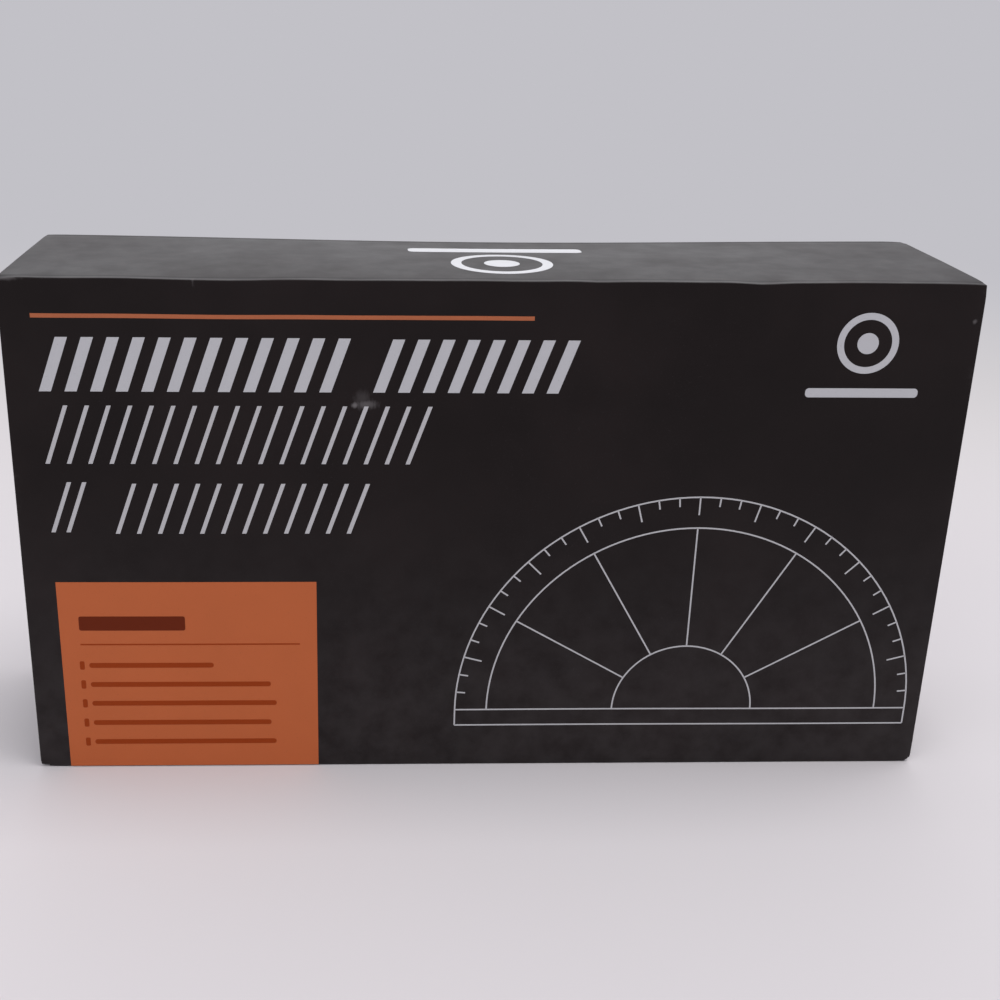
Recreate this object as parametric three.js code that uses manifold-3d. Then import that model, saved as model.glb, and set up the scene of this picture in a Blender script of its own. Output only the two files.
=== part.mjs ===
// Rolling knife sharpener set in its closed gift box, in millimetres. +Z is up, +X runs to the
// right along the box, and the printed cover faces -Y. The origin is the centre of the underside.
//
// The box is a book-style case: cover, spine, back and closing flap are wrapped boards, and a tray
// is glued inside. A foam insert in the tray holds the roller, a five-sided magnetic angle block,
// two spare discs and a folded pair of gloves. The sizes of the contents set the size of the box.
import * as THREE from 'three';
import { ConvexGeometry } from 'three/addons/geometries/ConvexGeometry.js';
import { mergeVertices } from 'three/addons/utils/BufferGeometryUtils.js';
import Module from 'manifold-3d';

const wasm = await Module();
wasm.setup();

// Clearances and counts
const seatGap = 0.3; // left between two pieces that lie against each other
const pocketClearance = 0.6; // round a piece in its foam pocket
const cutOverrun = 1; // a cutting shape runs this far past the face it opens
const roundSides = 32; // facets round the large turned pieces
const smallRoundSides = 20; // facets round bearings, axle, screws and closure magnets
const cornerSteps = 4; // facets on a quarter turn of a rounded corner

// Roller: grip barrel on two ball bearings, with a wheel at each end
const rollerDiameter = 50; // over the rubber tyres
const barrelLength = 44;
const barrelDiameter = 44;
const barrelWaistDepth = 1.2; // hollow of the grip at mid length
const barrelChamfer = 1;
const barrelGripSteps = 6;
const coreDiameter = 26;
const coreShoulderDiameter = 18;
const bearingDiameter = 22;
const bearingWidth = 7;
const bearingOuterWall = 1.9;
const bearingInnerWall = 1.6;
const raceDepth = 0.75;
const raceWidth = 3.6;
const raceFlatWidth = 1.8;
const ballDiameter = 4;
const ballCount = 7;
const ballSides = 7;
const ballBands = 5;
const cageWidth = 1.6;
const cageWall = 1;
const axleDiameter = 8;
const wheelDiameter = 48.4;
const wheelWidth = 9;
const wheelSideGap = 0.5; // running gap between barrel and wheel
const wheelBossDiameter = 11.2;
const wheelBossHeight = 0.2;
const wheelChamfer = 0.8;
const tyreSection = 3;
const tyreSides = 8;
const tyreInset = 4.2; // wheel's inner face to the middle of the tyre
const axleSeatDepth = 3.6;
const screwDiameter = 5;
const screwLength = 9;
const screwHeadDiameter = 10;
const screwHeadHeight = 2.2;
const hexKeySides = 6;
const hexKeyWidth = 4; // across flats
const hexKeyDepth = 1.4;
const ringMagnetOuterDiameter = 36;
const ringMagnetInnerDiameter = 17;
const ringMagnetThickness = 3;

// Abrasive discs: a steel plate that the wheel's magnet holds, and the abrasive bonded to it
const discDiameter = 46;
const discSeatDepth = 1.5;
const plateThickness = 3;
const plateChamfer = 0.5;
const abrasiveInset = 0.6; // rim of the plate that shows round the abrasive
const diamondThickness = 0.8;
const ceramicThickness = 3.2;
const abrasiveChamfer = 0.25;
const discPullTravel = 3.5; // a disc comes this far off its wheel inside the insert

// Angle block: a wooden pentagon whose five sides lean in at five sharpening angles
const blockRadius = 50; // centre to corner of the top face
const blockHeight = 29;
const blockHoleDiameter = 42;
const blockBevel = 1.2;
const blockCornerCut = 1.6;
const blockAngles = [15, 12, 18, 20, 22]; // degrees off square, from the side that faces down
const blockMatThickness = 1.2;
const blockMatRimShare = 0.2; // bare rim at each edge of the mat, of the block's narrowest foot
const padThickness = 1.2;
const padBorder = 3.2;
const barMagnetLength = 34;
const barMagnetWidth = 8;
const barMagnetThickness = 4;

// Gloves, each folded flat to this size
const gloveWidth = 76;
const gloveHeight = 64;
const gloveThickness = 14;
const gloveCornerRadius = 9;
const gloveEdgeRound = 3.5;
const gloveEdgeSteps = 3;

// Foam insert: two layers with pockets on a base sheet
const insertSideMargin = 5.5; // foam left between a pocket and the insert's left or right end
const insertEndMargin = 5; // the same at its top and bottom
const insertWeb = 6; // foam left between two pockets
const insertGap = 0.5; // between the insert and the tray's walls
const insertRecess = 1; // front of the foam below the tray's rim
const insertTopClearance = 2.5; // a packed piece lies this far below the foam's front
const insertBaseThickness = 3;
const rollerHeadroom = 0.3; // roller to the tray's rim
const rollerEndClearance = 0.6; // beyond each disc when it is pulled off
const spareDiscRecess = 1.5; // spare discs lie this far below the foam's front
const discSlotLength = 14; // finger slot between the two spare discs
const discSlotWidth = 18;
const discSlotDepth = 16;
const notchWidth = 24; // finger notch between roller and gloves
const notchDepth = 22;

// Box
const boardThickness = 2; // greyboard with its paper wrap
const panelCornerRadius = 1.2;
const trayWall = 1.8;
const trayInset = 2; // the tray's ends stand this far inside the cover's ends
const liningThickness = 0.4;
const liningBorder = 4;
const flapEndInset = 1; // the flap is this much shorter than the cover at each end
const closureMagnetDiameter = 12;
const closureMagnetThickness = 1.2;
const strikeThickness = 1;
const closureMagnetInset = 42; // box's end to the middle of a closure magnet

// Sizes that follow from the contents
const fifthTurn = (2 * Math.PI) / 5;
const blockApothem = blockRadius * Math.cos(fifthTurn / 2);
const blockWindowRadius = blockRadius + pocketClearance / Math.cos(fifthTurn / 2);
const blockWindowWidth = 2 * blockWindowRadius * Math.sin(fifthTurn);
const blockWindowHeight = blockWindowRadius * (1 + Math.cos(fifthTurn / 2));
const discWellDiameter = discDiameter + 2 * pocketClearance;
const wheelInnerFace = barrelLength / 2 + wheelSideGap;
const discProudness = plateThickness + seatGap - discSeatDepth;
const rollerLength = 2 * (wheelInnerFace + wheelWidth + discProudness + seatGap + diamondThickness);
const rollerWindowLength = rollerLength + 2 * (discPullTravel + rollerEndClearance);
const rollerWindowHeight = rollerDiameter + 2 * pocketClearance;
const gloveWindowWidth = gloveWidth + 2 * pocketClearance;
const gloveWindowHeight = gloveHeight + 2 * pocketClearance;
const kitColumnWidth = Math.max(rollerWindowLength, gloveWindowWidth);

const insertWidth =
  2 * insertSideMargin + blockWindowWidth + insertWeb + discWellDiameter + insertWeb + kitColumnWidth;
const insertHeight = 2 * insertEndMargin + Math.max(
  rollerWindowHeight + insertWeb + gloveWindowHeight,
  blockWindowHeight,
  2 * discWellDiameter + discSlotLength,
);
const trayWidth = insertWidth + 2 * (insertGap + trayWall);
const trayHeight = insertHeight + 2 * (insertGap + trayWall);
const trayDepth = rollerHeadroom + rollerDiameter + seatGap + insertBaseThickness + seatGap + trayWall;
const boxWidth = trayWidth + 2 * trayInset;
const boxHeight = trayHeight + 2 * (boardThickness + seatGap);
const boxDepth = 2 * boardThickness + 3 * seatGap + liningThickness + trayDepth;

// Places, from the front of the box to its back and from its underside up
const frontY = -boxDepth / 2;
const backY = boxDepth / 2;
const liningY = frontY + boardThickness + seatGap;
const trayFrontY = liningY + liningThickness + seatGap;
const trayFloorY = trayFrontY + trayDepth - trayWall;
const insertBaseY = trayFloorY - seatGap - insertBaseThickness;
const insertFrontY = trayFrontY + insertRecess;
const upperThickness = insertTopClearance + Math.max(blockHeight, 2 * gloveThickness + seatGap);
const lowerY = insertFrontY + upperThickness + seatGap;
const lowerThickness = insertBaseY - seatGap - lowerY;
const trayBottomZ = boardThickness + seatGap;
const middleZ = boxHeight / 2;
const insertBottomZ = middleZ - insertHeight / 2;
const insertTopZ = middleZ + insertHeight / 2;
const insertLeftX = -insertWidth / 2;

const blockWindowX = insertLeftX + insertSideMargin + blockWindowWidth / 2;
const blockWindowZ = middleZ - blockWindowHeight / 2 + blockWindowRadius * Math.cos(fifthTurn / 2);
const settle = pocketClearance - seatGap; // a piece rests this far below the middle of its pocket
const discX = blockWindowX + blockWindowWidth / 2 + insertWeb + discWellDiameter / 2;
const discPitch = discWellDiameter + discSlotLength;
const kitX = discX + discWellDiameter / 2 + insertWeb + kitColumnWidth / 2;
const rollerWindowZ = insertTopZ - insertEndMargin - rollerWindowHeight / 2;
const rollerY = insertBaseY - seatGap - rollerDiameter / 2;
const rollerZ = rollerWindowZ - settle;
const gloveWindowZ = insertBottomZ + insertEndMargin + gloveWindowHeight / 2;

const sharpenerBox = new THREE.Group();
sharpenerBox.name = 'rolling_knife_sharpener_set';

// A closed geometry as a solid that can be joined and cut
function solidOf(geometry) {
  const bare = new THREE.BufferGeometry();
  bare.setAttribute('position', geometry.getAttribute('position'));
  bare.setIndex(geometry.getIndex());
  const merged = mergeVertices(bare);
  const corners = merged.getIndex().array;
  const triangles = [];
  for (let i = 0; i < corners.length; i += 3) {
    const [a, b, c] = [corners[i], corners[i + 1], corners[i + 2]];
    if (a !== b && b !== c && c !== a) triangles.push(a, b, c);
  }
  return new wasm.Manifold(new wasm.Mesh({
    numProp: 3,
    vertProperties: new Float32Array(merged.getAttribute('position').array),
    triVerts: new Uint32Array(triangles),
  }));
}

// A solid with others cut out of it
function cut(geometry, ...cutters) {
  return cutters.reduce((left, cutter) => left.subtract(solidOf(cutter)), solidOf(geometry));
}

// A material of the given colour, with its roughness and metalness
function finish(color, roughness, metalness = 0) {
  return new THREE.MeshStandardMaterial({ color, roughness, metalness });
}
const blackPaper = () => finish(0x1f1c1d, 0.55);
const blackFoam = () => finish(0x1b1b1d, 0.95);
const steel = () => finish(0xb4b6ba, 0.3, 1);
const wood = () => finish(0x8a5a35, 0.6);
const rubber = () => finish(0x151515, 0.85);
const magnetNickel = () => finish(0xc6c4be, 0.2, 1);

// Adds one named piece, from a geometry or a solid
function add(name, shape, material, parent = sharpenerBox) {
  const made = (shape.isBufferGeometry ? solidOf(shape) : shape).getMesh();
  const geometry = new THREE.BufferGeometry();
  geometry.setAttribute('position', new THREE.BufferAttribute(made.vertProperties, made.numProp));
  geometry.setIndex(new THREE.BufferAttribute(made.triVerts, 1));
  geometry.computeVertexNormals();
  const mesh = new THREE.Mesh(geometry, material);
  mesh.name = name;
  parent.add(mesh);
  return mesh;
}

// A block between two corners
function blockBetween(low, high) {
  const size = high.map((value, i) => value - low[i]);
  const middle = high.map((value, i) => (value + low[i]) / 2);
  return new THREE.BoxGeometry(...size).translate(...middle);
}

// A rectangle with rounded corners, centred on (x, y)
function roundedRectangle(width, height, radius, x = 0, y = 0) {
  const [right, top] = [width / 2 - radius, height / 2 - radius];
  const shape = new THREE.Shape();
  shape.absarc(x + right, y - top, radius, -Math.PI / 2, 0);
  shape.absarc(x + right, y + top, radius, 0, Math.PI / 2);
  shape.absarc(x - right, y + top, radius, Math.PI / 2, Math.PI);
  shape.absarc(x - right, y - top, radius, Math.PI, 1.5 * Math.PI);
  return shape;
}

// An outline in X and Z that runs from front to back, over the given stretch of Y
function plate(shape, fromY, toY, options = {}) {
  const depth = toY - fromY;
  const settings = { depth, bevelEnabled: false, curveSegments: cornerSteps, ...options };
  return new THREE.ExtrudeGeometry(shape, settings).rotateX(Math.PI / 2).translate(0, toY, 0);
}

// A ring or disc turned about +Y from a profile of [radius, height] points that runs anticlockwise
function turned(profile, sides = roundSides) {
  return new THREE.LatheGeometry(profile.map(([radius, height]) => new THREE.Vector2(radius, height)), sides);
}

// A plain ring between two radii and two heights
function ring(innerRadius, outerRadius, low, high, sides = roundSides) {
  const outside = [[innerRadius, low], [outerRadius, low], [outerRadius, high], [innerRadius, high]];
  return turned(innerRadius > 0 ? [...outside, outside[0]] : outside, sides);
}

// A round cutter or pin that runs from front to back
function roundPlug(diameter, x, z, fromY, toY, sides = roundSides) {
  const plug = new THREE.CylinderGeometry(diameter / 2, diameter / 2, toY - fromY, sides);
  return plug.translate(x, (fromY + toY) / 2, z);
}

// A round cutter or pin that stands upright
function uprightPlug(diameter, x, y, fromZ, toZ) {
  const plug = new THREE.CylinderGeometry(diameter / 2, diameter / 2, toZ - fromZ, smallRoundSides);
  return plug.rotateX(Math.PI / 2).translate(x, y, (fromZ + toZ) / 2);
}

// Case: wrapped boards, tray, lining and magnetic closure
function addCase() {
  const panel = roundedRectangle(boxWidth, boxHeight, panelCornerRadius, 0, middleZ);
  add('cover_panel', plate(panel, frontY, frontY + boardThickness), blackPaper());
  add('back_panel', plate(panel, backY - boardThickness, backY), blackPaper());

  const panelFrontY = frontY + boardThickness + seatGap;
  const panelBackY = backY - boardThickness - seatGap;
  const spineEnd = boxWidth / 2;
  add('spine_panel', blockBetween(
    [-spineEnd, panelFrontY, boxHeight - boardThickness],
    [spineEnd, panelBackY, boxHeight],
  ), blackPaper());

  const liningWidth = boxWidth - 2 * liningBorder;
  const liningHeight = boxHeight - 2 * liningBorder;
  const lining = roundedRectangle(liningWidth, liningHeight, panelCornerRadius, 0, middleZ);
  add('cover_lining', plate(lining, liningY, liningY + liningThickness), blackPaper());

  const trayTopZ = trayBottomZ + trayHeight;
  const trayOutside = blockBetween(
    [-trayWidth / 2, trayFrontY, trayBottomZ],
    [trayWidth / 2, trayFrontY + trayDepth, trayTopZ],
  );
  const trayInside = blockBetween(
    [-trayWidth / 2 + trayWall, trayFrontY - cutOverrun, trayBottomZ + trayWall],
    [trayWidth / 2 - trayWall, trayFloorY, trayTopZ - trayWall],
  );

  const closureX = boxWidth / 2 - closureMagnetInset;
  const holeDiameter = closureMagnetDiameter + 2 * seatGap;
  const strikePocketZ = trayBottomZ + strikeThickness + seatGap;
  const magnetBottomZ = boardThickness - closureMagnetThickness;
  const strikePockets = [];
  const magnetPockets = [];
  for (const [side, x] of [['left', -closureX], ['right', closureX]]) {
    strikePockets.push(uprightPlug(holeDiameter, x, 0, trayBottomZ - cutOverrun, strikePocketZ));
    magnetPockets.push(uprightPlug(holeDiameter, x, 0, magnetBottomZ - seatGap, trayBottomZ + cutOverrun));
    add(`tray_strike_${side}`,
      uprightPlug(closureMagnetDiameter, x, 0, trayBottomZ, trayBottomZ + strikeThickness), steel());
    add(`flap_magnet_${side}`,
      uprightPlug(closureMagnetDiameter, x, 0, magnetBottomZ, boardThickness), magnetNickel());
  }
  add('tray', cut(trayOutside, trayInside, ...strikePockets), blackPaper());

  const flapEnd = boxWidth / 2 - flapEndInset;
  const flap = blockBetween([-flapEnd, panelFrontY, 0], [flapEnd, panelBackY, boardThickness]);
  add('flap_panel', cut(flap, ...magnetPockets), blackPaper());
}

// The corners of a pentagon in X and Y whose sides lie at the given distances from its centre.
// The first side faces down, and the others follow anticlockwise.
function sideAngle(side) {
  return -Math.PI / 2 + side * fifthTurn;
}
function pentagon(distances) {
  return distances.map((distance, i) => {
    const [a, b] = [sideAngle(i), sideAngle(i + 1)];
    const next = distances[(i + 1) % distances.length];
    const share = Math.sin(b - a);
    return new THREE.Vector2(
      (distance * Math.sin(b) - next * Math.sin(a)) / share,
      (next * Math.cos(a) - distance * Math.cos(b)) / share,
    );
  });
}

// An outline with each corner cut off at the given distance along both of its sides
function cornersCut(corners, distance) {
  return corners.flatMap((corner, i) => {
    const before = corners[(i + corners.length - 1) % corners.length];
    const after = corners[(i + 1) % corners.length];
    return [before, after].map((end) =>
      corner.clone().add(end.clone().sub(corner).setLength(distance)));
  });
}

// Distances of the block's five sides from its axis, at a height above its underside
function blockSides(height, inset = 0) {
  return blockAngles.map((degrees) =>
    blockApothem - inset - (blockHeight - height) * Math.tan(THREE.MathUtils.degToRad(degrees)));
}

// Foam insert: upper layer with every pocket, lower layer that only the roller passes, base sheet
function addInsert() {
  const outline = blockBetween(
    [insertLeftX, insertFrontY, insertBottomZ],
    [-insertLeftX, insertFrontY + upperThickness, insertTopZ],
  );
  const beyondFront = insertFrontY - cutOverrun;
  const beyondUpper = lowerY - seatGap + cutOverrun;
  const windowOutline = new THREE.Shape(
    pentagon(blockSides(blockHeight, -pocketClearance)).map((corner) =>
      corner.add(new THREE.Vector2(blockWindowX, blockWindowZ))),
  );
  const spareDepth = spareDiscRecess + ceramicThickness + seatGap + plateThickness + seatGap;
  const wells = [-1, 1].map((side) => roundPlug(
    discWellDiameter, discX, middleZ + (side * discPitch) / 2, beyondFront, insertFrontY + spareDepth));
  const slotReach = discSlotLength / 2 + discSlotWidth / 2;
  const fingerSlot = blockBetween(
    [discX - discSlotWidth / 2, beyondFront, middleZ - slotReach],
    [discX + discSlotWidth / 2, insertFrontY + discSlotDepth, middleZ + slotReach],
  );
  const rollerWindow = (backmost) => blockBetween(
    [kitX - rollerWindowLength / 2, beyondFront, rollerWindowZ - rollerWindowHeight / 2],
    [kitX + rollerWindowLength / 2, backmost, rollerWindowZ + rollerWindowHeight / 2],
  );
  const gloveWindow = blockBetween(
    [kitX - gloveWindowWidth / 2, beyondFront, gloveWindowZ - gloveWindowHeight / 2],
    [kitX + gloveWindowWidth / 2, beyondUpper, gloveWindowZ + gloveWindowHeight / 2],
  );
  const fingerNotch = blockBetween(
    [kitX - notchWidth / 2, beyondFront, gloveWindowZ],
    [kitX + notchWidth / 2, insertFrontY + notchDepth, rollerWindowZ],
  );
  add('insert_upper', cut(
    outline, plate(windowOutline, beyondFront, beyondUpper), ...wells, fingerSlot,
    rollerWindow(beyondUpper), gloveWindow, fingerNotch,
  ), blackFoam());

  const beyondLower = lowerY + lowerThickness + cutOverrun;
  const lower = blockBetween(
    [insertLeftX, lowerY, insertBottomZ],
    [-insertLeftX, lowerY + lowerThickness, insertTopZ],
  );
  add('insert_lower', cut(lower, rollerWindow(beyondLower)), blackFoam());
  add('insert_base', blockBetween(
    [insertLeftX, insertBaseY, insertBottomZ],
    [-insertLeftX, insertBaseY + insertBaseThickness, insertTopZ],
  ), blackFoam());
}

// Angle block. It is modelled standing on its mat, with its top face up, and then laid in its
// pocket with the top face to the front.
function addAngleBlock() {
  const block = new THREE.Group();
  block.rotation.x = Math.PI / 2;
  block.position.set(blockWindowX, insertFrontY + upperThickness, blockWindowZ - settle);
  sharpenerBox.add(block);

  const bodyBottom = blockMatThickness + seatGap;
  const level = (height, inset) => cornersCut(pentagon(blockSides(height, inset)), blockCornerCut)
    .map((corner) => new THREE.Vector3(corner.x, corner.y, height));
  const body = new ConvexGeometry([
    ...level(bodyBottom, 0),
    ...level(blockHeight - blockBevel, 0),
    ...level(blockHeight, blockBevel),
  ]);
  const hole = (radius, low, high) => ring(0, radius, low, high).rotateX(Math.PI / 2);
  const cutters = [hole(blockHoleDiameter / 2, -cutOverrun, blockHeight + cutOverrun)];

  const topCorners = pentagon(blockSides(blockHeight));
  const bottomCorners = pentagon(blockSides(bodyBottom));
  blockAngles.forEach((degrees, side) => {
    const lean = THREE.MathUtils.degToRad(degrees);
    const around = sideAngle(side);
    const along = new THREE.Vector3(-Math.sin(around), Math.cos(around), 0);
    const out = new THREE.Vector3(Math.cos(around), Math.sin(around), 0);
    const up = out.clone().multiplyScalar(Math.sin(lean)).setZ(Math.cos(lean));
    const normal = new THREE.Vector3().crossVectors(along, up);
    const edge = out.clone().multiplyScalar(blockApothem).setZ(blockHeight);
    const faceFrame = new THREE.Matrix4().makeBasis(along, up, normal).setPosition(edge);

    const before = (side + blockAngles.length - 1) % blockAngles.length;
    const ends = (corners) => [corners[before], corners[side]].map((corner) =>
      corner.x * along.x + corner.y * along.y);
    const [topStart, topEnd] = ends(topCorners);
    const [bottomStart, bottomEnd] = ends(bottomCorners);
    const slope = (blockHeight - bodyBottom) / Math.cos(lean);
    const panel = (border) => new THREE.Shape([
      new THREE.Vector2(bottomStart + border, border - slope),
      new THREE.Vector2(bottomEnd - border, border - slope),
      new THREE.Vector2(topEnd - border, -border),
      new THREE.Vector2(topStart + border, -border),
    ]);
    const onFace = (shape, low, high) =>
      new THREE.ExtrudeGeometry(shape, { depth: high - low, bevelEnabled: false })
        .translate(0, 0, low).applyMatrix4(faceFrame);
    const padFloor = -padThickness - seatGap;
    const magnetBack = padFloor - barMagnetThickness;
    const middle = ((bottomStart + bottomEnd) / 2 + (topStart + topEnd) / 2) / 2;
    const bar = (grow, low, high) => blockBetween(
      [middle - barMagnetLength / 2 - grow, -slope / 2 - barMagnetWidth / 2 - grow, low],
      [middle + barMagnetLength / 2 + grow, -slope / 2 + barMagnetWidth / 2 + grow, high],
    ).applyMatrix4(faceFrame);

    cutters.push(onFace(panel(padBorder - seatGap), padFloor, cutOverrun));
    cutters.push(bar(seatGap, magnetBack - seatGap, 0));
    add(`angle_block_pad_${side + 1}`, onFace(panel(padBorder), -padThickness, 0), rubber(), block);
    add(`angle_block_magnet_${side + 1}`, bar(0, magnetBack, padFloor), magnetNickel(), block);
  });
  add('angle_block_body', cut(body, ...cutters), wood(), block);

  const foot = Math.min(...blockSides(bodyBottom)) - blockHoleDiameter / 2;
  const matRim = foot * blockMatRimShare;
  const matOutline = new THREE.Shape(pentagon(blockSides(bodyBottom, matRim)));
  const mat = new THREE.ExtrudeGeometry(matOutline, { depth: blockMatThickness, bevelEnabled: false });
  const matHole = hole(blockHoleDiameter / 2 + matRim, -cutOverrun, bodyBottom);
  add('angle_block_mat', cut(mat, matHole), rubber(), block);
}

// Roller. Its pieces are turned about +Y and then laid along X: a piece of a side is measured from
// the inner face of that side's wheel, and the others from the middle of the roller.
function addRoller() {
  const roller = new THREE.Group();
  roller.position.set(kitX, rollerY, rollerZ);
  sharpenerBox.add(roller);
  const alongX = (geometry) => geometry.rotateZ(-Math.PI / 2);
  const onSide = (geometry, side, from = wheelInnerFace) =>
    geometry.rotateZ((-side * Math.PI) / 2).translate(side * from, 0, 0);

  const gripRadius = barrelDiameter / 2;
  const coreRadius = coreDiameter / 2;
  const boreRadius = coreRadius + seatGap;
  const halfBarrel = barrelLength / 2;
  const gripEnd = halfBarrel - barrelChamfer;
  const grip = Array.from({ length: barrelGripSteps + 1 }, (_, step) => {
    const along = (2 * step) / barrelGripSteps - 1;
    return [gripRadius - barrelWaistDepth * (1 - along * along), along * gripEnd];
  });
  add('grip_barrel', alongX(turned([
    [boreRadius, -halfBarrel], [gripRadius - barrelChamfer, -halfBarrel],
    ...grip,
    [gripRadius - barrelChamfer, halfBarrel], [boreRadius, halfBarrel], [boreRadius, -halfBarrel],
  ])), wood(), roller);

  const seatRadius = bearingDiameter / 2 + seatGap;
  const shoulder = halfBarrel - bearingWidth - seatGap;
  add('barrel_core', alongX(turned([
    [seatRadius, -halfBarrel], [coreRadius, -halfBarrel], [coreRadius, halfBarrel],
    [seatRadius, halfBarrel], [seatRadius, shoulder], [coreShoulderDiameter / 2, shoulder],
    [coreShoulderDiameter / 2, -shoulder], [seatRadius, -shoulder], [seatRadius, -halfBarrel],
  ])), finish(0xa9abad, 0.35, 1), roller);

  const axleRadius = axleDiameter / 2;
  const tapRadius = screwDiameter / 2 + seatGap;
  const axleEnd = wheelInnerFace + axleSeatDepth - seatGap;
  const seatFloor = wheelWidth - discSeatDepth;
  const headSeat = seatFloor - screwHeadHeight - seatGap;
  const tapEnd = wheelInnerFace + headSeat + seatGap - screwLength - seatGap;
  add('axle', alongX(turned([
    [0, -tapEnd], [tapRadius, -tapEnd], [tapRadius, -axleEnd], [axleRadius, -axleEnd],
    [axleRadius, axleEnd], [tapRadius, axleEnd], [tapRadius, tapEnd], [0, tapEnd],
  ], smallRoundSides)), steel(), roller);

  const wheelRadius = wheelDiameter / 2;
  const grooveFloor = rollerDiameter / 2 - tyreSection - seatGap;
  const grooveHalf = tyreSection / 2 + seatGap;
  const discSeat = discDiameter / 2 + seatGap;
  const magnetFloor = seatFloor - ringMagnetThickness - seatGap;
  const magnetOuter = ringMagnetOuterDiameter / 2;
  const magnetInner = ringMagnetInnerDiameter / 2;
  const headRadius = screwHeadDiameter / 2;
  const wheelProfile = [
    [axleRadius + seatGap, -wheelBossHeight], [wheelBossDiameter / 2, -wheelBossHeight],
    [wheelBossDiameter / 2, 0], [wheelRadius - wheelChamfer, 0], [wheelRadius, wheelChamfer],
    [wheelRadius, tyreInset - grooveHalf], [grooveFloor, tyreInset - grooveHalf],
    [grooveFloor, tyreInset + grooveHalf], [wheelRadius, tyreInset + grooveHalf],
    [wheelRadius, wheelWidth - wheelChamfer], [wheelRadius - wheelChamfer, wheelWidth],
    [discSeat, wheelWidth], [discSeat, seatFloor],
    [magnetOuter + seatGap, seatFloor], [magnetOuter + seatGap, magnetFloor],
    [magnetInner - seatGap, magnetFloor], [magnetInner - seatGap, seatFloor],
    [headRadius + seatGap, seatFloor], [headRadius + seatGap, headSeat],
    [tapRadius, headSeat], [tapRadius, axleSeatDepth],
    [axleRadius + seatGap, axleSeatDepth], [axleRadius + seatGap, -wheelBossHeight],
  ];
  const tyreRadius = tyreSection / 2;
  const tyreProfile = Array.from({ length: tyreSides + 1 }, (_, i) => {
    const angle = (2 * Math.PI * (i % tyreSides)) / tyreSides;
    const middle = rollerDiameter / 2 - tyreRadius;
    return [middle + tyreRadius * Math.cos(angle), tyreInset + tyreRadius * Math.sin(angle)];
  });
  const headLow = headSeat + seatGap;
  const screwProfile = [
    [0, headLow - screwLength], [screwDiameter / 2, headLow - screwLength],
    [screwDiameter / 2, headLow], [headRadius, headLow], [headRadius, seatFloor], [0, seatFloor],
  ];
  const hexKeyRadius = hexKeyWidth / 2 / Math.cos(Math.PI / hexKeySides);
  const hexKey = () => new THREE.CylinderGeometry(
    hexKeyRadius, hexKeyRadius, 2 * hexKeyDepth, hexKeySides,
  ).translate(0, seatFloor, 0);

  const outerRace = bearingDiameter / 2 - bearingOuterWall;
  const innerBore = axleRadius + seatGap;
  const innerRace = innerBore + bearingInnerWall;
  const pitch = (outerRace + innerRace) / 2;
  const bearingEnd = bearingWidth / 2;
  const bearingMiddle = halfBarrel - bearingEnd;
  const outerRing = [
    [outerRace, -bearingEnd], [bearingDiameter / 2, -bearingEnd], [bearingDiameter / 2, bearingEnd],
    [outerRace, bearingEnd], [outerRace, raceWidth / 2], [outerRace + raceDepth, raceFlatWidth / 2],
    [outerRace + raceDepth, -raceFlatWidth / 2], [outerRace, -raceWidth / 2], [outerRace, -bearingEnd],
  ];
  const innerRing = [
    [innerBore, -bearingEnd], [innerRace, -bearingEnd], [innerRace, -raceWidth / 2],
    [innerRace - raceDepth, -raceFlatWidth / 2], [innerRace - raceDepth, raceFlatWidth / 2],
    [innerRace, raceWidth / 2], [innerRace, bearingEnd], [innerBore, bearingEnd],
    [innerBore, -bearingEnd],
  ];

  for (const [name, side] of [['left', -1], ['right', 1]]) {
    const cage = ring(
      pitch - cageWall / 2, pitch + cageWall / 2, -cageWidth / 2, cageWidth / 2, smallRoundSides);
    let balls = solidOf(onSide(cage, side, bearingMiddle));
    for (let i = 0; i < ballCount; i += 1) {
      const turn = (2 * Math.PI * i) / ballCount;
      const ball = new THREE.SphereGeometry(ballDiameter / 2, ballSides, ballBands)
        .translate(pitch * Math.cos(turn), 0, pitch * Math.sin(turn));
      balls = balls.add(solidOf(onSide(ball, side, bearingMiddle)));
    }
    add(`bearing_${name}_balls`, balls, steel(), roller);
    const bearing = (profile) => onSide(turned(profile, smallRoundSides), side, bearingMiddle);
    add(`bearing_${name}_outer_ring`, bearing(outerRing), steel(), roller);
    add(`bearing_${name}_inner_ring`, bearing(innerRing), steel(), roller);

    add(`wheel_${name}`, onSide(turned(wheelProfile), side), steel(), roller);
    add(`tyre_${name}`, onSide(turned(tyreProfile), side), rubber(), roller);
    const magnet = ring(magnetInner, magnetOuter, magnetFloor + seatGap, seatFloor);
    add(`wheel_magnet_${name}`, onSide(magnet, side), magnetNickel(), roller);
    const screw = onSide(turned(screwProfile, smallRoundSides), side);
    add(`wheel_screw_${name}`, cut(screw, onSide(hexKey(), side)), finish(0x2c2c2e, 0.4, 1), roller);
  }

  const diamondDiscs = [['coarse_diamond', -1, 0x6e7073], ['fine_diamond', 1, 0x8b8d90]];
  for (const [name, side, color] of diamondDiscs) {
    const place = (geometry) => onSide(geometry, side, wheelInnerFace + seatFloor + seatGap);
    addDisc(name, diamondThickness, finish(color, 0.75, 0.6), place, roller);
  }
}

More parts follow.
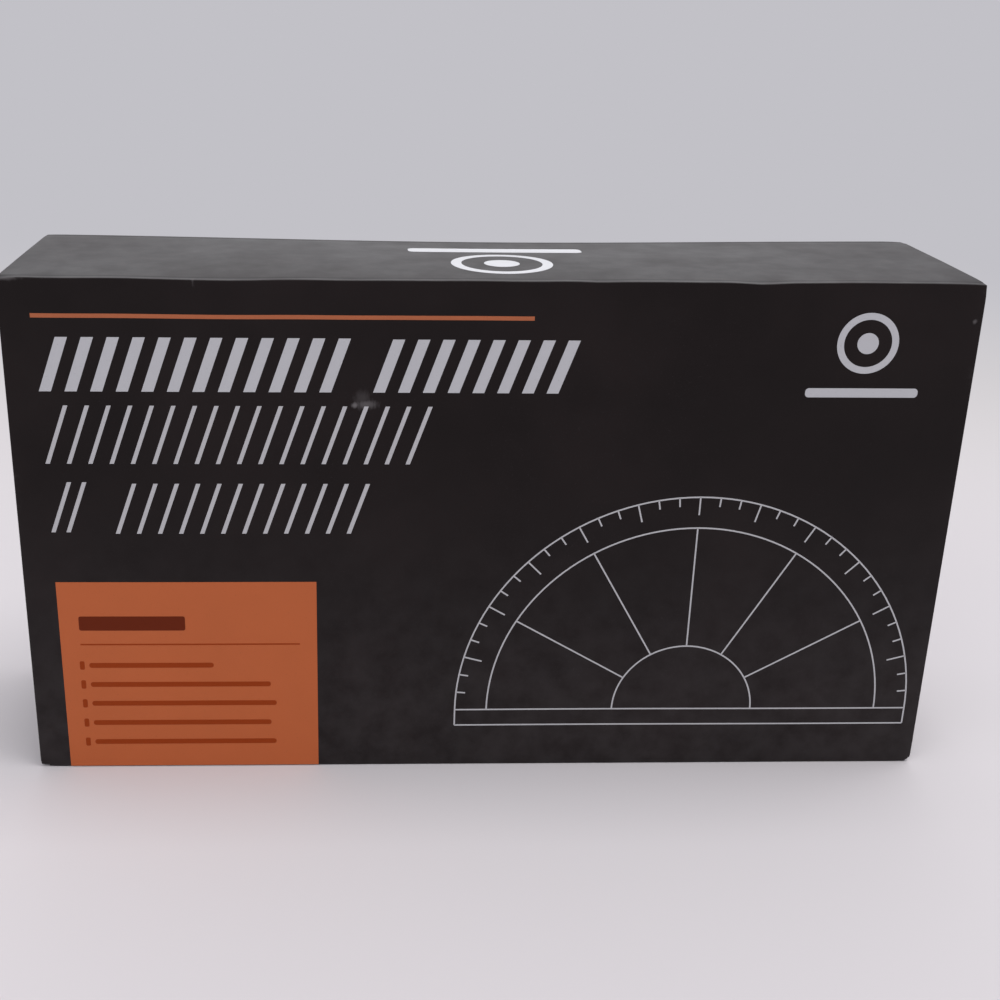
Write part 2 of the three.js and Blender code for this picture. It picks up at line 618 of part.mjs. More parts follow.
// A steel plate with its abrasive, turned about +Y with the plate's inner face at zero
function addDisc(name, abrasiveThickness, material, place, parent) {
  const radius = discDiameter / 2;
  const abrasiveRadius = radius - abrasiveInset;
  const low = plateThickness + seatGap;
  const high = low + abrasiveThickness;
  add(`${name}_plate`, place(turned([
    [0, 0], [radius - plateChamfer, 0], [radius, plateChamfer],
    [radius, plateThickness - plateChamfer], [radius - plateChamfer, plateThickness],
    [0, plateThickness],
  ])), steel(), parent);
  add(`${name}_disc`, place(turned([
    [0, low], [abrasiveRadius, low], [abrasiveRadius, high - abrasiveChamfer],
    [abrasiveRadius - abrasiveChamfer, high], [0, high],
  ])), material, parent);
}

// Spare ceramic discs, each face up in its round pocket
function addSpareDiscs() {
  const ceramics = [['coarse_ceramic', 1, 0xcfc8bb], ['fine_ceramic', -1, 0xe9e6df]];
  for (const [name, side, color] of ceramics) {
    const z = middleZ + (side * discPitch) / 2 - settle;
    const backmost = insertFrontY + spareDiscRecess + ceramicThickness + seatGap + plateThickness;
    const place = (geometry) => geometry.rotateX(Math.PI).translate(discX, backmost, z);
    addDisc(name, ceramicThickness, finish(color, 0.8), place, sharpenerBox);
  }
}

// A folded pair of gloves, one behind the other
function addGloves() {
  const outline = roundedRectangle(
    gloveWidth - 2 * gloveEdgeRound, gloveHeight - 2 * gloveEdgeRound,
    gloveCornerRadius - gloveEdgeRound, kitX, gloveWindowZ - settle,
  );
  const rounding = {
    depth: gloveThickness - 2 * gloveEdgeRound,
    bevelEnabled: true,
    bevelSize: gloveEdgeRound,
    bevelThickness: gloveEdgeRound,
    bevelSegments: gloveEdgeSteps,
  };
  const backmost = insertFrontY + upperThickness;
  for (const [name, layer] of [['right', 0], ['left', 1]]) {
    const back = backmost - layer * (gloveThickness + seatGap);
    const glove = plate(outline, back - gloveThickness, back - gloveEdgeRound, rounding);
    add(`glove_${name}`, glove, finish(0x8f9398, 0.95));
  }
}

addCase();
addInsert();
addAngleBlock();
addRoller();
addSpareDiscs();
addGloves();

export default sharpenerBox;
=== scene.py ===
"""Looks of a rolling knife sharpener set in its closed gift box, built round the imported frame.

Lengths are in metres. +Z is up, the printed cover faces -Y and the set stands on Z = 0.
"""
import logging
import math
from collections.abc import Callable
from dataclasses import dataclass, field
from enum import Enum
from functools import cache

import bmesh
import bpy
import numpy as np
from mathutils import Matrix, Vector


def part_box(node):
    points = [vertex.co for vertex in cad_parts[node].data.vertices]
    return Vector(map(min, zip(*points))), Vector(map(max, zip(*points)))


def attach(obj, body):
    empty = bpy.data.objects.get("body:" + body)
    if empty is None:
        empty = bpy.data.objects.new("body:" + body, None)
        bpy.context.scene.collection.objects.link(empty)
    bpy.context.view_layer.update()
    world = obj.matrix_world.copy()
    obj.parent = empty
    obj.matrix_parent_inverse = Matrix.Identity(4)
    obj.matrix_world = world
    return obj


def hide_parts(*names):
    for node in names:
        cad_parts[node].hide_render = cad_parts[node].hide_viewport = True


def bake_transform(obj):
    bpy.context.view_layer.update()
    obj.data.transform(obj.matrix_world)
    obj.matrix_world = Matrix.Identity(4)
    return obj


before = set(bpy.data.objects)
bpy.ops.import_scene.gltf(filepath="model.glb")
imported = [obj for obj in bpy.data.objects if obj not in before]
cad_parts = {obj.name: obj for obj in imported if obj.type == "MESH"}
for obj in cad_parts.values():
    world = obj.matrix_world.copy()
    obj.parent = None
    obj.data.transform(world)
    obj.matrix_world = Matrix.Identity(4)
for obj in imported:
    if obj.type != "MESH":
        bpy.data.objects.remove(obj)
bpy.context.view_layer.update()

LOG = logging.getLogger("sharpener_set")
Triple = tuple[float, float, float]
Pair = tuple[float, float]
Array = np.ndarray
Rule = Callable[[Array], Array]
Material = bpy.types.Material
Socket = bpy.types.NodeSocket
Object = bpy.types.Object
Tree = bpy.types.NodeTree
Value = object

MM = 0.001
WELD = 0.002 * MM
TINY = 1e-9
ON_PLANE = 2e-6
SHALLOW_DEG = 20
SHARP_DEG = 38.0
FLAT_DEG = 0.5
BEVEL_DEG = 30
PRINT_STEP = 4 * MM
ARC_STEP_DEG = 2.5
TURN_STEPS = 9
SIDE_POINTS = (30, 54)
CORNER_POINTS = 6
EASED_POINTS = 4
NICKEL = (202, 199, 192)
NUMERAL_SHARE = 0.72


def span(node: str) -> tuple[Array, Array]:
    """Lowest and highest corner of a CAD node, as arrays."""
    low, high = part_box(node)
    return np.array(low), np.array(high)


def middle_of(node: str) -> Array:
    """Middle of a CAD node's box."""
    low, high = span(node)
    return (low + high) / 2


def bell(distance: Array, width: float) -> Array:
    """A bell curve: the exponential of minus the square of a distance over a width."""
    return np.exp(-(distance / width) ** 2)


def linked(name: str, data: bpy.types.ID) -> Object:
    """A new object in the scene, at the origin."""
    thing = bpy.data.objects.new(name, data)
    bpy.context.scene.collection.objects.link(thing)
    return thing


def vectors(mesh: bpy.types.Mesh, kind: str = "co") -> Array:
    """Places of a mesh's points, or its normals where kind is "normal".

    Args:
        mesh: whose points are read.
        kind: the property to read.

    Returns:
        n by 3.
    """
    values = np.zeros(len(mesh.vertices) * 3)
    mesh.vertices.foreach_get(kind, values)
    return values.reshape(-1, 3)


def along(path: Array) -> Array:
    """How far along a path each of its points lies."""
    return np.r_[0, np.cumsum(np.linalg.norm(np.diff(path, axis=0), axis=1))]


def settled(piece: Object) -> Object:
    """A piece as its modifiers leave it."""
    return piece.evaluated_get(bpy.context.evaluated_depsgraph_get())


def linear(red: float, green: float, blue: float) -> tuple[float, ...]:
    """A colour as a shader takes it, by the standard curve of screens.

    Args:
        red, green, blue: as they look on screen, 0 to 255.

    Returns:
        Linear RGBA.
    """
    share = np.array([red, green, blue]) / 255
    low, high = share / 12.92, ((share + 0.055) / 1.055) ** 2.4
    return (*np.where(share <= 0.04045, low, high).tolist(), 1.0)


# Surfaces


@dataclass
class Surface:
    """Points and faces of a piece in the making, with named values at its points.

    Attributes:
        points: array of n by 3.
        faces: lists of point numbers.
        marks: value at each point, by the name that a material reads.
    """

    points: Array
    faces: list
    marks: dict[str, Array] = field(default_factory=dict)

    def bent(self, rule: Rule) -> "Surface":
        """The same surface with each point moved by a rule that takes and gives n by 3 points."""
        return Surface(rule(self.points), self.faces, self.marks)

    def marked(self, name: str, values: Array) -> "Surface":
        """The same surface with one more named value at its points."""
        return Surface(self.points, self.faces, {**self.marks, name: values})


def together(surfaces: list[Surface]) -> Surface:
    """Joins surfaces.

    Args:
        surfaces: with the same marks.

    Returns:
        One surface, in which each is left closed by itself.
    """
    starts = np.cumsum([0] + [len(s.points) for s in surfaces])
    faces = [[int(i + start) for i in face] for s, start in zip(surfaces, starts) for face in s.faces]
    marks = {name: np.concatenate([s.marks[name] for s in surfaces]) for name in surfaces[0].marks}
    return Surface(np.concatenate([s.points for s in surfaces]), faces, marks)


def grid(points: Array, ring_rows: bool = False, ring_columns: bool = False) -> Surface:
    """A surface over a grid of points.

    Args:
        points: rows by columns by 3.
        ring_rows, ring_columns: whether the last row or column meets the first.

    Returns:
        One four-sided face between each two rows and two columns.
    """
    rows, columns = points.shape[:2]
    row = np.arange(rows if ring_rows else rows - 1)[:, None]
    column = np.arange(columns if ring_columns else columns - 1)[None, :]
    row_after, column_after = (row + 1) % rows, (column + 1) % columns
    corners = [row * columns + column, row_after * columns + column,
               row_after * columns + column_after, row * columns + column_after]
    faces = np.stack(np.broadcast_arrays(*corners), axis=-1).reshape(-1, 4)
    return Surface(points.reshape(-1, 3), faces.tolist())


def swept(sections: Array, loop: bool = False) -> Surface:
    """A closed band: a flat section carried from station to station.

    Args:
        sections: stations by points by 3. The first half of a section's points runs along its outer
            side, and the second half runs back along its inner side.
        loop: whether the last station meets the first. Otherwise both ends are closed.

    Returns:
        The band, with its ends closed by faces between facing points of the two sides.
    """
    band = grid(sections, ring_rows=loop, ring_columns=True)
    if not loop:
        count = sections.shape[1]
        i = np.arange(count // 2 - 1)
        end = np.stack([i, i + 1, count - 2 - i, count - 1 - i], axis=-1)
        last = end + (len(sections) - 1) * count
        band.faces += end.tolist() + last[:, ::-1].tolist()
    return band


class Axis(Enum):
    """A direction of the set: along its length, to its back or up."""

    X = 0
    Y = 1
    Z = 2


def lathe(profile: Array, origin: Array, axis: Axis, sides: int, closed: bool = True) -> Surface:
    """A profile turned about an axis.

    Args:
        profile: n by 2, the place along the axis and the radius.
        origin: a point on the axis, which adds nothing along it.
        axis: X or Y.
        sides: steps round the axis.
        closed: whether the profile's last point meets its first.

    Returns:
        Points at along, radius times cosine and radius times sine of each step's angle.
    """
    turn = np.linspace(0, 2 * math.pi, sides, endpoint=False)[:, None]
    place, radius = profile[:, 0][None, :], profile[:, 1][None, :]
    parts = np.stack([place + 0 * turn, radius * np.cos(turn), radius * np.sin(turn)], axis=-1)
    points = np.roll(parts, axis.value, axis=-1) + origin * np.roll([0, 1, 1], axis.value)
    return grid(points, ring_rows=True, ring_columns=closed)


def eased(profile: Array, radius: float, closed: bool = True) -> Array:
    """A profile with its corners rounded.

    Each corner becomes a parabola between a point on the side before it and one on the side after.
    A sharp corner is cut back by the radius, and a shallow one by half of each side, which joins
    a row of shallow corners into one smooth curve.

    Args:
        profile: n by 2.
        radius: how far a sharp corner is cut back.
        closed: whether the last point meets the first.

    Returns:
        The rounded profile.
    """
    before, after = np.roll(profile, 1, axis=0) - profile, np.roll(profile, -1, axis=0) - profile
    lengths = [np.maximum(np.linalg.norm(side, axis=1), TINY) for side in (before, after)]
    turn = -np.sum(before * after, axis=1) / (lengths[0] * lengths[1])
    shallow = turn > math.cos(math.radians(SHALLOW_DEG))
    cuts = [np.where(shallow, 0.5, np.minimum(radius / length, 0.45)) for length in lengths]
    if not closed:
        cuts = [cut * np.r_[0, np.ones(len(profile) - 2), 0] for cut in cuts]
    start, end = profile + before * cuts[0][:, None], profile + after * cuts[1][:, None]
    share = np.linspace(0, 1, EASED_POINTS)[None, :, None]
    curve = (1 - share) ** 2 * start[:, None] + 2 * share * (1 - share) * profile[:, None]
    rounded = (curve + share**2 * end[:, None]).reshape(-1, 2)
    return rounded if closed else rounded[EASED_POINTS - 1:1 - EASED_POINTS]


def turned_profile(node: str, origin: Array, axis: Axis) -> tuple[Array, bool]:
    """The profile of a turned CAD node, read from its edges that lie in one plane through its axis.

    Args:
        node: the CAD node's name.
        origin: a point on the axis.
        axis: X or Y.

    Returns:
        The place along the axis and the radius of each corner in order, and whether it is a loop.
    """
    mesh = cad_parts[node].data
    points = vectors(mesh)
    edges = np.array([edge.vertices[:] for edge in mesh.edges])
    across = np.roll(points - origin, -axis.value, axis=1)[:, 1:]
    radius = np.linalg.norm(across, axis=1)
    outermost = across[np.argmax(radius)] / radius.max()
    in_plane = (np.abs(across @ outermost - radius) < ON_PLANE) | (radius < ON_PLANE)
    keys = np.round(np.stack([points[:, axis.value], radius], axis=1) / WELD).astype(int)
    corners, number = np.unique(keys, axis=0, return_inverse=True)
    pairs = number.reshape(-1)[edges[in_plane[edges].all(axis=1)]].tolist()
    joined: dict[int, list[int]] = {}
    for one, other in sorted({tuple(sorted(pair)) for pair in pairs if pair[0] != pair[1]}):
        joined.setdefault(one, []).append(other)
        joined.setdefault(other, []).append(one)
    ends = [i for i, others in joined.items() if len(others) == 1]
    path = [ends[0] if ends else min(joined)]
    while onward := [i for i in joined[path[-1]] if i not in path]:
        path.append(onward[0])
    return corners[path] * WELD, not ends


def rounded_outline(half: Pair, radius: float) -> Array:
    """A rectangle with rounded corners.

    A side runs straight between corner centres, and each corner is a quarter of a circle.

    Args:
        half: half of its width and of its height.
        radius: of its corners.

    Returns:
        n by 2 points, anticlockwise from its right side.
    """
    arc = np.linspace(0, math.pi / 2, CORNER_POINTS)
    corner = radius * np.stack([np.cos(arc), np.sin(arc)], axis=1)
    inner = np.array(half) - radius
    signs = [(1, 1), (-1, 1), (-1, -1), (1, -1)]
    pieces = []
    for quarter, sign in enumerate(signs):
        turn = quarter * math.pi / 2
        spin = np.array([[math.cos(turn), math.sin(turn)], [-math.sin(turn), math.cos(turn)]])
        curve = corner @ spin + inner * sign
        following = corner[0] @ spin @ np.array([[0, 1], [-1, 0]]) + inner * signs[(quarter + 1) % 4]
        share = np.linspace(0, 1, SIDE_POINTS[quarter % 2] + 2)[1:-1, None]
        pieces += [curve, curve[-1] * (1 - share) + following * share]
    return np.concatenate(pieces)


def board(low: Array, high: Array, facing: Axis, corner: float, edge: float) -> Surface:
    """A flat board with rounded corners and rounded edges.

    Rings of the outline run from the middle of one face, where they close on a line, out to the
    edge, round a half turn of the edge's radius and back to the middle of the other face.

    Args:
        low, high: lowest and highest corner.
        facing: the way that the thickness runs, Y or Z.
        corner: radius of the outline's corners.
        edge: radius of the rounded edges.

    Returns:
        The board, marked "edge" from 1 on the rounded edge to 0 some millimetres inside.
    """
    across, through, up = (0, 1, 2) if facing is Axis.Y else (0, 2, 1)
    half = (high - low) / 2
    middle = (high + low) / 2
    shorter = min(half[across], half[up])
    arc = np.linspace(0, math.pi / 2, 5)
    share = np.array([1, 0.87, 0.74, 0.62, 0.51, 0.42, 0.34, 0.26, 0.19, 0.13, 0.08, 0.05, 0.03])
    inset = np.concatenate([shorter * share, edge + np.array([1.2, 0.5]) * MM, edge * (1 - np.sin(arc))])
    level = half[through] - np.concatenate([np.zeros(len(share) + 2), edge * (1 - np.cos(arc))])
    inset, level = np.r_[inset, inset[::-1]], np.r_[level, -level[::-1]]
    rings = []
    for step, height in zip(inset, level):
        size = (half[across] - step, half[up] - step)
        outline = rounded_outline(size, max(corner - step, 0))
        ring = np.zeros((len(outline), 3))
        ring[:, across], ring[:, up], ring[:, through] = outline[:, 0], outline[:, 1], height
        rings.append(ring + middle)
    surface = grid(np.stack(rings), ring_columns=True)
    nearness = np.exp(-np.maximum(inset - edge * 0.5, 0) / (0.9 * MM))
    return surface.marked("edge", np.repeat(nearness, len(rings[0])))


def panel(low: Pair, high: Pair, faces: Pair, corner: float = 0.0) -> Surface:
    """A thin plate on the cover, with rounded corners, fine enough to follow the cover's waves.

    Its stations climb in Z. At each one the width narrows inside a corner by what the quarter
    circle takes away there.

    Args:
        low, high: lowest and highest X and Z.
        faces: Y of its front and its back.
        corner: radius of its corners.

    Returns:
        The plate.
    """
    arc = np.linspace(0, math.pi / 2, 7)[:-1] if corner else np.zeros(0)
    rise, narrower = corner * (1 - np.cos(arc)), corner * (1 - np.sin(arc))
    columns, rows = (max(2, int((end - start) / PRINT_STEP) + 2) for start, end in zip(low, high))
    straight = np.linspace(low[1] + corner, high[1] - corner, rows)
    stations = np.r_[low[1] + rise, straight, (high[1] - rise)[::-1]]
    taken = np.r_[narrower, np.zeros(rows), narrower[::-1]]
    share = np.linspace(-1, 1, columns)
    half, middle = (high[0] - low[0]) / 2, (high[0] + low[0]) / 2
    x = middle + share[None, :] * (half - taken)[:, None]
    z = np.repeat(stations[:, None], columns, axis=1)
    front, back = (np.stack([x, np.full_like(x, y), z], axis=-1) for y in faces)
    return swept(np.concatenate([front, back[:, ::-1]], axis=1))


def strip(sides: tuple[Array, ...], faces: Pair, loop: bool = False) -> Surface:
    """A thin four-sided band on the cover between two lines.

    Args:
        sides: the two lines, each n by 2 points in X and Z.
        faces: Y of its front and its back.
        loop: whether the lines close on themselves.

    Returns:
        The band.
    """
    (left, right), (front, back) = sides, faces
    corners = [(left, front), (right, front), (right, back), (left, back)]
    sections = [np.stack([line[:, 0], np.full(len(line), y), line[:, 1]], axis=1) for line, y in corners]
    return swept(np.stack(sections, axis=1), loop)


def stroke(path: Array, width: float, faces: Pair, loop: bool = False) -> Surface:
    """A printed line: a band whose sides lie half a width from a path, square to its direction.

    Args:
        path: n by 2 points in X and Z.
        width: of the line.
        faces: Y of its front and its back.
        loop: whether the path's last point meets its first.

    Returns:
        The band.
    """
    if loop:
        direction = np.roll(path, -1, axis=0) - np.roll(path, 1, axis=0)
    else:
        direction = np.gradient(path, axis=0)
    direction = direction / np.linalg.norm(direction, axis=1, keepdims=True)
    aside = np.stack([-direction[:, 1], direction[:, 0]], axis=1) * width / 2
    return strip((path + aside, path - aside), faces, loop)


def dashes(start: Pair, end: Pair) -> Array:
    """A straight path.

    Args:
        start, end: X and Z of its first and last point.

    Returns:
        Points at most a print step apart.
    """
    start, end = np.array(start), np.array(end)
    count = max(2, int(np.linalg.norm(end - start) / PRINT_STEP) + 2)
    return start + np.linspace(0, 1, count)[:, None] * (end - start)


def arc_path(centre: Pair, radius: float, degrees: float) -> Array:
    """A path on a circle, anticlockwise from +X.

    Args:
        centre: its X and Z.
        radius: of the circle.
        degrees: angle of the last point.

    Returns:
        Points at the same step of angle.
    """
    angle = np.radians(np.linspace(0, degrees, int(degrees / ARC_STEP_DEG) + 1))
    return np.array(centre) + radius * np.stack([np.cos(angle), np.sin(angle)], axis=1)


def make_piece(name: str, form: Surface | bpy.types.Mesh, finish: Material, slot: str,
               sharp_deg: float = SHARP_DEG) -> Object:
    """Makes an object at the origin, with its doubles merged and its faces out.

    Args:
        name: the piece's name.
        form: a surface, or a mesh, which is altered.
        finish, slot: its material and the name of its slot, which is logged.
        sharp_deg: edges that turn by more than this stay sharp.

    Returns:
        The new piece, which rides on nothing yet.
    """
    mesh = form
    if isinstance(form, Surface):
        mesh = bpy.data.meshes.new(name)
        mesh.from_pydata(form.points.tolist(), [], form.faces)
        for key, values in form.marks.items():
            mesh.attributes.new(key, "FLOAT", "POINT").data.foreach_set("value", values.astype(np.float32))
    shape = bmesh.new()
    shape.from_mesh(mesh)
    bmesh.ops.remove_doubles(shape, verts=shape.verts, dist=WELD)
    bmesh.ops.recalc_face_normals(shape, faces=shape.faces)
    shape.to_mesh(mesh)
    shape.free()
    mesh.shade_smooth()
    mesh.set_sharp_from_angle(angle=math.radians(sharp_deg))
    mesh.materials.clear()
    mesh.materials.append(finish)
    piece = linked(name, mesh)
    LOG.info("%s: %d points of %s", name, len(mesh.vertices), slot)
    return piece


def softened(name: str, node: str, finish: Material, slot: str, width: float, segments: int = 2) -> Object:
    """A copy of a CAD node with its edges rounded, which replaces the node.

    The copy's doubles are merged and its flat faces joined, so that the bevel meets whole edges.

    Args:
        name, node: the piece's name and the CAD node.
        finish, slot: its material and the name of its slot, which is logged.
        width, segments: of the bevel.

    Returns:
        The new piece, which rides on nothing yet.
    """
    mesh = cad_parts[node].data.copy()
    shape = bmesh.new()
    shape.from_mesh(mesh)
    bmesh.ops.remove_doubles(shape, verts=shape.verts, dist=WELD)
    bmesh.ops.dissolve_limit(shape, angle_limit=math.radians(FLAT_DEG), verts=shape.verts, edges=shape.edges)
    shape.to_mesh(mesh)
    shape.free()
    piece = make_piece(name, mesh, finish, slot)
    bevel = piece.modifiers.new("softened edges", "BEVEL")
    bevel.width, bevel.segments = width, segments
    bevel.limit_method, bevel.angle_limit = "ANGLE", math.radians(BEVEL_DEG)
    bevel.harden_normals = True
    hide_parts(node)
    return piece


def turned(name: str, node: str, finish: Material, slot: str, body: str, corner: float,
           sides: int = 144, axis: Axis = Axis.X, shape: Rule | None = None) -> Object:
    """A turned piece with rounded corners, from a CAD node's profile, which replaces the node.

    Args:
        name, node: the piece's name and the CAD node that it replaces.
        finish, slot: its material and the name of its slot, which is logged.
        body: the body that it rides on.
        corner: how far sharp corners are cut back.
        sides: steps round the axis.
        axis: X or Y.
        shape: a rule that alters the rounded profile.

    Returns:
        The new piece.
    """
    origin = middle_of(node)
    profile, loop = turned_profile(node, origin, axis)
    profile = eased(profile, corner, loop)
    if shape:
        profile = shape(profile)
    piece = make_piece(name, lathe(profile, origin, axis, sides, loop), finish, slot)
    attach(piece, body)
    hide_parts(node)
    return piece


# Shader groups and materials


class Nodes:
    """Adds nodes to one tree, with values or links given by socket name.

    Patterns follow its place, an output that says where a point lies, unless they are given another.
    """

    def __init__(self, tree: Tree) -> None:
        """Works on a tree."""
        self.tree, self.place = tree, None

    def add(self, kind: str, inputs: dict | None = None, **settings: Value) -> bpy.types.Node:
        """Adds one node.

        Args:
            kind: the node's type, without its ShaderNode prefix.
            inputs: a value or another node's output, by socket name or number.
            settings: the node's own properties.

        Returns:
            The new node.
        """
        node = self.tree.nodes.new(f"ShaderNode{kind}")
        for key, value in settings.items():
            setattr(node, key, value)
        for key, value in (inputs or {}).items():
            if isinstance(value, Socket):
                self.tree.links.new(value, node.inputs[key])
            else:
                node.inputs[key].default_value = value
        return node

    def math(self, operation: str, *values: Value) -> Socket:
        """The result of a Math node on one, two or three values or outputs."""
        return self.add("Math", dict(enumerate(values)), operation=operation).outputs[0]

    def times(self, first: Value, second: Value) -> Socket:
        """The product of two values."""
        return self.math("MULTIPLY", first, second)

    def plus(self, first: Value, second: Value) -> Socket:
        """The sum of two values."""
        return self.math("ADD", first, second)

    def scaled(self, value: Value, factor: float, added: Value) -> Socket:
        """A value times a factor, plus another."""
        return self.math("MULTIPLY_ADD", value, factor, added)

    def rest(self, value: Value) -> Socket:
        """What a value leaves of 1."""
        return self.math("SUBTRACT", 1.0, value)

    def vector(self, operation: str, first: Value, second: Value) -> Socket:
        """The result of a Vector Math node on two vectors."""
        return self.add("VectorMath", {0: first, 1: second}, operation=operation).outputs[0]

    def mapped(self, vector: Value, **settings: Triple) -> Socket:
        """A vector turned by Rotation or stretched by Scale."""
        return self.add("Mapping", {"Vector": vector, **settings}).outputs[0]

    def fade(self, value: Value, low: float, high: float) -> Socket:
        """0 below low, 1 above high and a smooth step between them."""
        inputs = {"Value": value, "From Min": low, "From Max": high}
        return self.add("MapRange", inputs, interpolation_type="SMOOTHSTEP").outputs["Result"]

    def mix(self, share: Value, first: Value, second: Value) -> Socket:
        """A colour between two colours, whose sockets on a Mix node have the numbers 6 and 7."""
        return self.add("Mix", {"Factor": share, 6: first, 7: second}, data_type="RGBA").outputs[2]

    def noise(self, scale: float, detail: float, roughness: float, vector: Socket | None = None,
              output: str = "Fac") -> Socket:
        """Fractal noise, whose scale is in waves a metre."""
        inputs = {"Vector": vector or self.place, "Scale": scale, "Detail": detail, "Roughness": roughness}
        return self.add("TexNoise", inputs).outputs[output]

    def split(self, vector: Value) -> list[Socket]:
        """The X, Y and Z of a vector."""
        return list(self.add("SeparateXYZ", {0: vector}).outputs)


class Group(Nodes):
    """A shader node group in the making, with its inputs by name in given."""

    def __init__(self, name: str, **inputs: str) -> None:
        """Starts a group that takes a Vector.

        Args:
            name: the group's name.
            inputs: kind of each further input.
        """
        super().__init__(bpy.data.node_groups.new(name, "ShaderNodeTree"))
        for key, kind in {"Vector": "Vector", **inputs}.items():
            self.tree.interface.new_socket(key, in_out="INPUT", socket_type=f"NodeSocket{kind}")
        self.given = self.tree.nodes.new("NodeGroupInput").outputs
        self.place = self.given["Vector"]

    def put(self, **outputs: Socket) -> Tree:
        """Makes the group's outputs, each a colour or a value.

        Args:
            outputs: what each output takes.

        Returns:
            The finished group.
        """
        for key, value in outputs.items():
            kind = "Color" if value.type == "RGBA" else "Float"
            self.tree.interface.new_socket(key, in_out="OUTPUT", socket_type=f"NodeSocket{kind}")
        end = self.tree.nodes.new("NodeGroupOutput")
        for key, value in outputs.items():
            self.tree.links.new(value, end.inputs[key])
        return self.tree


@cache
def scuff_group() -> Tree:
    """Worn edges.

    Returns:
        A group whose Mask of bare paper is the mark of nearness to an edge, broken up by noise.
    """
    group = Group("edge_scuffs", Edge="Float", Amount="Float")
    patches = group.noise(55.0, 3.0, 0.6)
    crumbs = group.noise(900.0, 3.0, 0.7)
    broken = group.times(group.fade(patches, 0.45, 0.75), group.fade(crumbs, 0.42, 0.7))
    worn = group.times(group.math("POWER", group.given["Edge"], 2.0), broken)
    return group.put(Mask=group.times(worn, group.given["Amount"]))


@cache
def spot_group() -> Tree:
    """One rubbed or soiled place.

    Returns:
        A group whose Mask is an oval patch round a point, drawn out upwards by noise.
    """
    group = Group("rubbed_spot", Centre="Vector", Size="Vector")
    offset = group.vector("SUBTRACT", group.place, group.given["Centre"])
    shares = group.vector("DIVIDE", offset, group.given["Size"])
    apart = group.add("VectorMath", {0: shares}, operation="LENGTH").outputs["Value"]
    drawn = group.mapped(group.place, Scale=(1.0, 1.0, 0.3))
    frayed = group.scaled(group.noise(1500.0, 3.0, 0.6, drawn), 1.5, 0.25)
    reach = group.math("DIVIDE", apart, frayed)
    return group.put(Mask=group.rest(group.fade(reach, 0.1, 1.15)))


@cache
def grain_group() -> Tree:
    """Wood along X.

    Returns:
        A group of rings seen along the grain, fine fibres and dark pores.
    """
    group = Group("wood_grain", Light="Color", Dark="Color")
    stretched = group.mapped(group.place, Scale=(0.12, 1.0, 1.0))
    cloud = group.noise(45.0, 2.0, 0.5, stretched, output="Color")
    drift = group.vector("MULTIPLY", cloud, (0.012, 0.012, 0.012))
    waves = {"Vector": group.vector("ADD", stretched, drift), "Scale": 62.0, "Distortion": 2.2,
             "Detail": 2.0, "Detail Scale": 1.6}
    rings = group.add("TexWave", waves, wave_type="RINGS", rings_direction="X", wave_profile="SAW")
    along_fibres = group.mapped(group.place, Scale=(0.04, 1.0, 1.0))
    fibre = group.noise(2600.0, 3.0, 0.6, along_fibres)
    broad = group.noise(60.0, 2.0, 0.5, stretched)
    pores = group.fade(group.noise(1500.0, 1.0, 0.4, along_fibres), 0.62, 0.7)
    depth = group.scaled(rings.outputs["Fac"], 0.42, group.times(broad, 0.5))
    depth = group.plus(depth, group.scaled(fibre, 0.35, -0.15))
    share = group.fade(group.scaled(pores, 0.3, depth), 0.15, 1.05)
    return group.put(Color=group.mix(share, group.given["Light"], group.given["Dark"]),
                     Height=group.scaled(pores, -0.8, group.times(fibre, 0.4)),
                     Roughness=group.scaled(share, 0.14, 0.4))


@cache
def turning_group() -> Tree:
    """Lathe marks round X.

    Returns:
        A group of fine rings along the axis and outwards from it, with smears in its Roughness.
    """
    group = Group("lathe_marks", Pitch="Float")
    pitch = group.given["Pitch"]
    x, y, z = group.split(group.place)
    out = group.math("SQRT", group.plus(group.times(y, y), group.times(z, z)))
    place = group.add("CombineXYZ", {0: group.times(x, pitch), 1: group.times(out, pitch)}).outputs[0]
    marks = group.noise(1.0, 3.0, 0.6, place)
    smears = group.noise(220.0, 3.0, 0.6)
    return group.put(Height=marks, Roughness=group.scaled(group.plus(marks, smears), 0.16, 0.14))


@cache
def grit_group() -> Tree:
    """Bonded grit.

    Returns:
        A group of crystals as cells of differing height and shade, some of which catch light.
    """
    group = Group("bonded_grit", Grain="Float", Bond="Color", Crystal="Color")
    cells = group.add("TexVoronoi", {"Vector": group.place, "Scale": group.given["Grain"]})
    tone = group.split(cells.outputs["Color"])[0]
    bright = group.fade(tone, 0.55, 0.95)
    clouds = group.noise(130.0, 3.0, 0.6)
    share = group.times(bright, group.scaled(clouds, 0.7, 0.35))
    return group.put(Color=group.mix(share, group.given["Bond"], group.given["Crystal"]),
                     Height=group.scaled(cells.outputs["Distance"], -1.0, tone),
                     Roughness=group.scaled(bright, -0.35, 0.8))


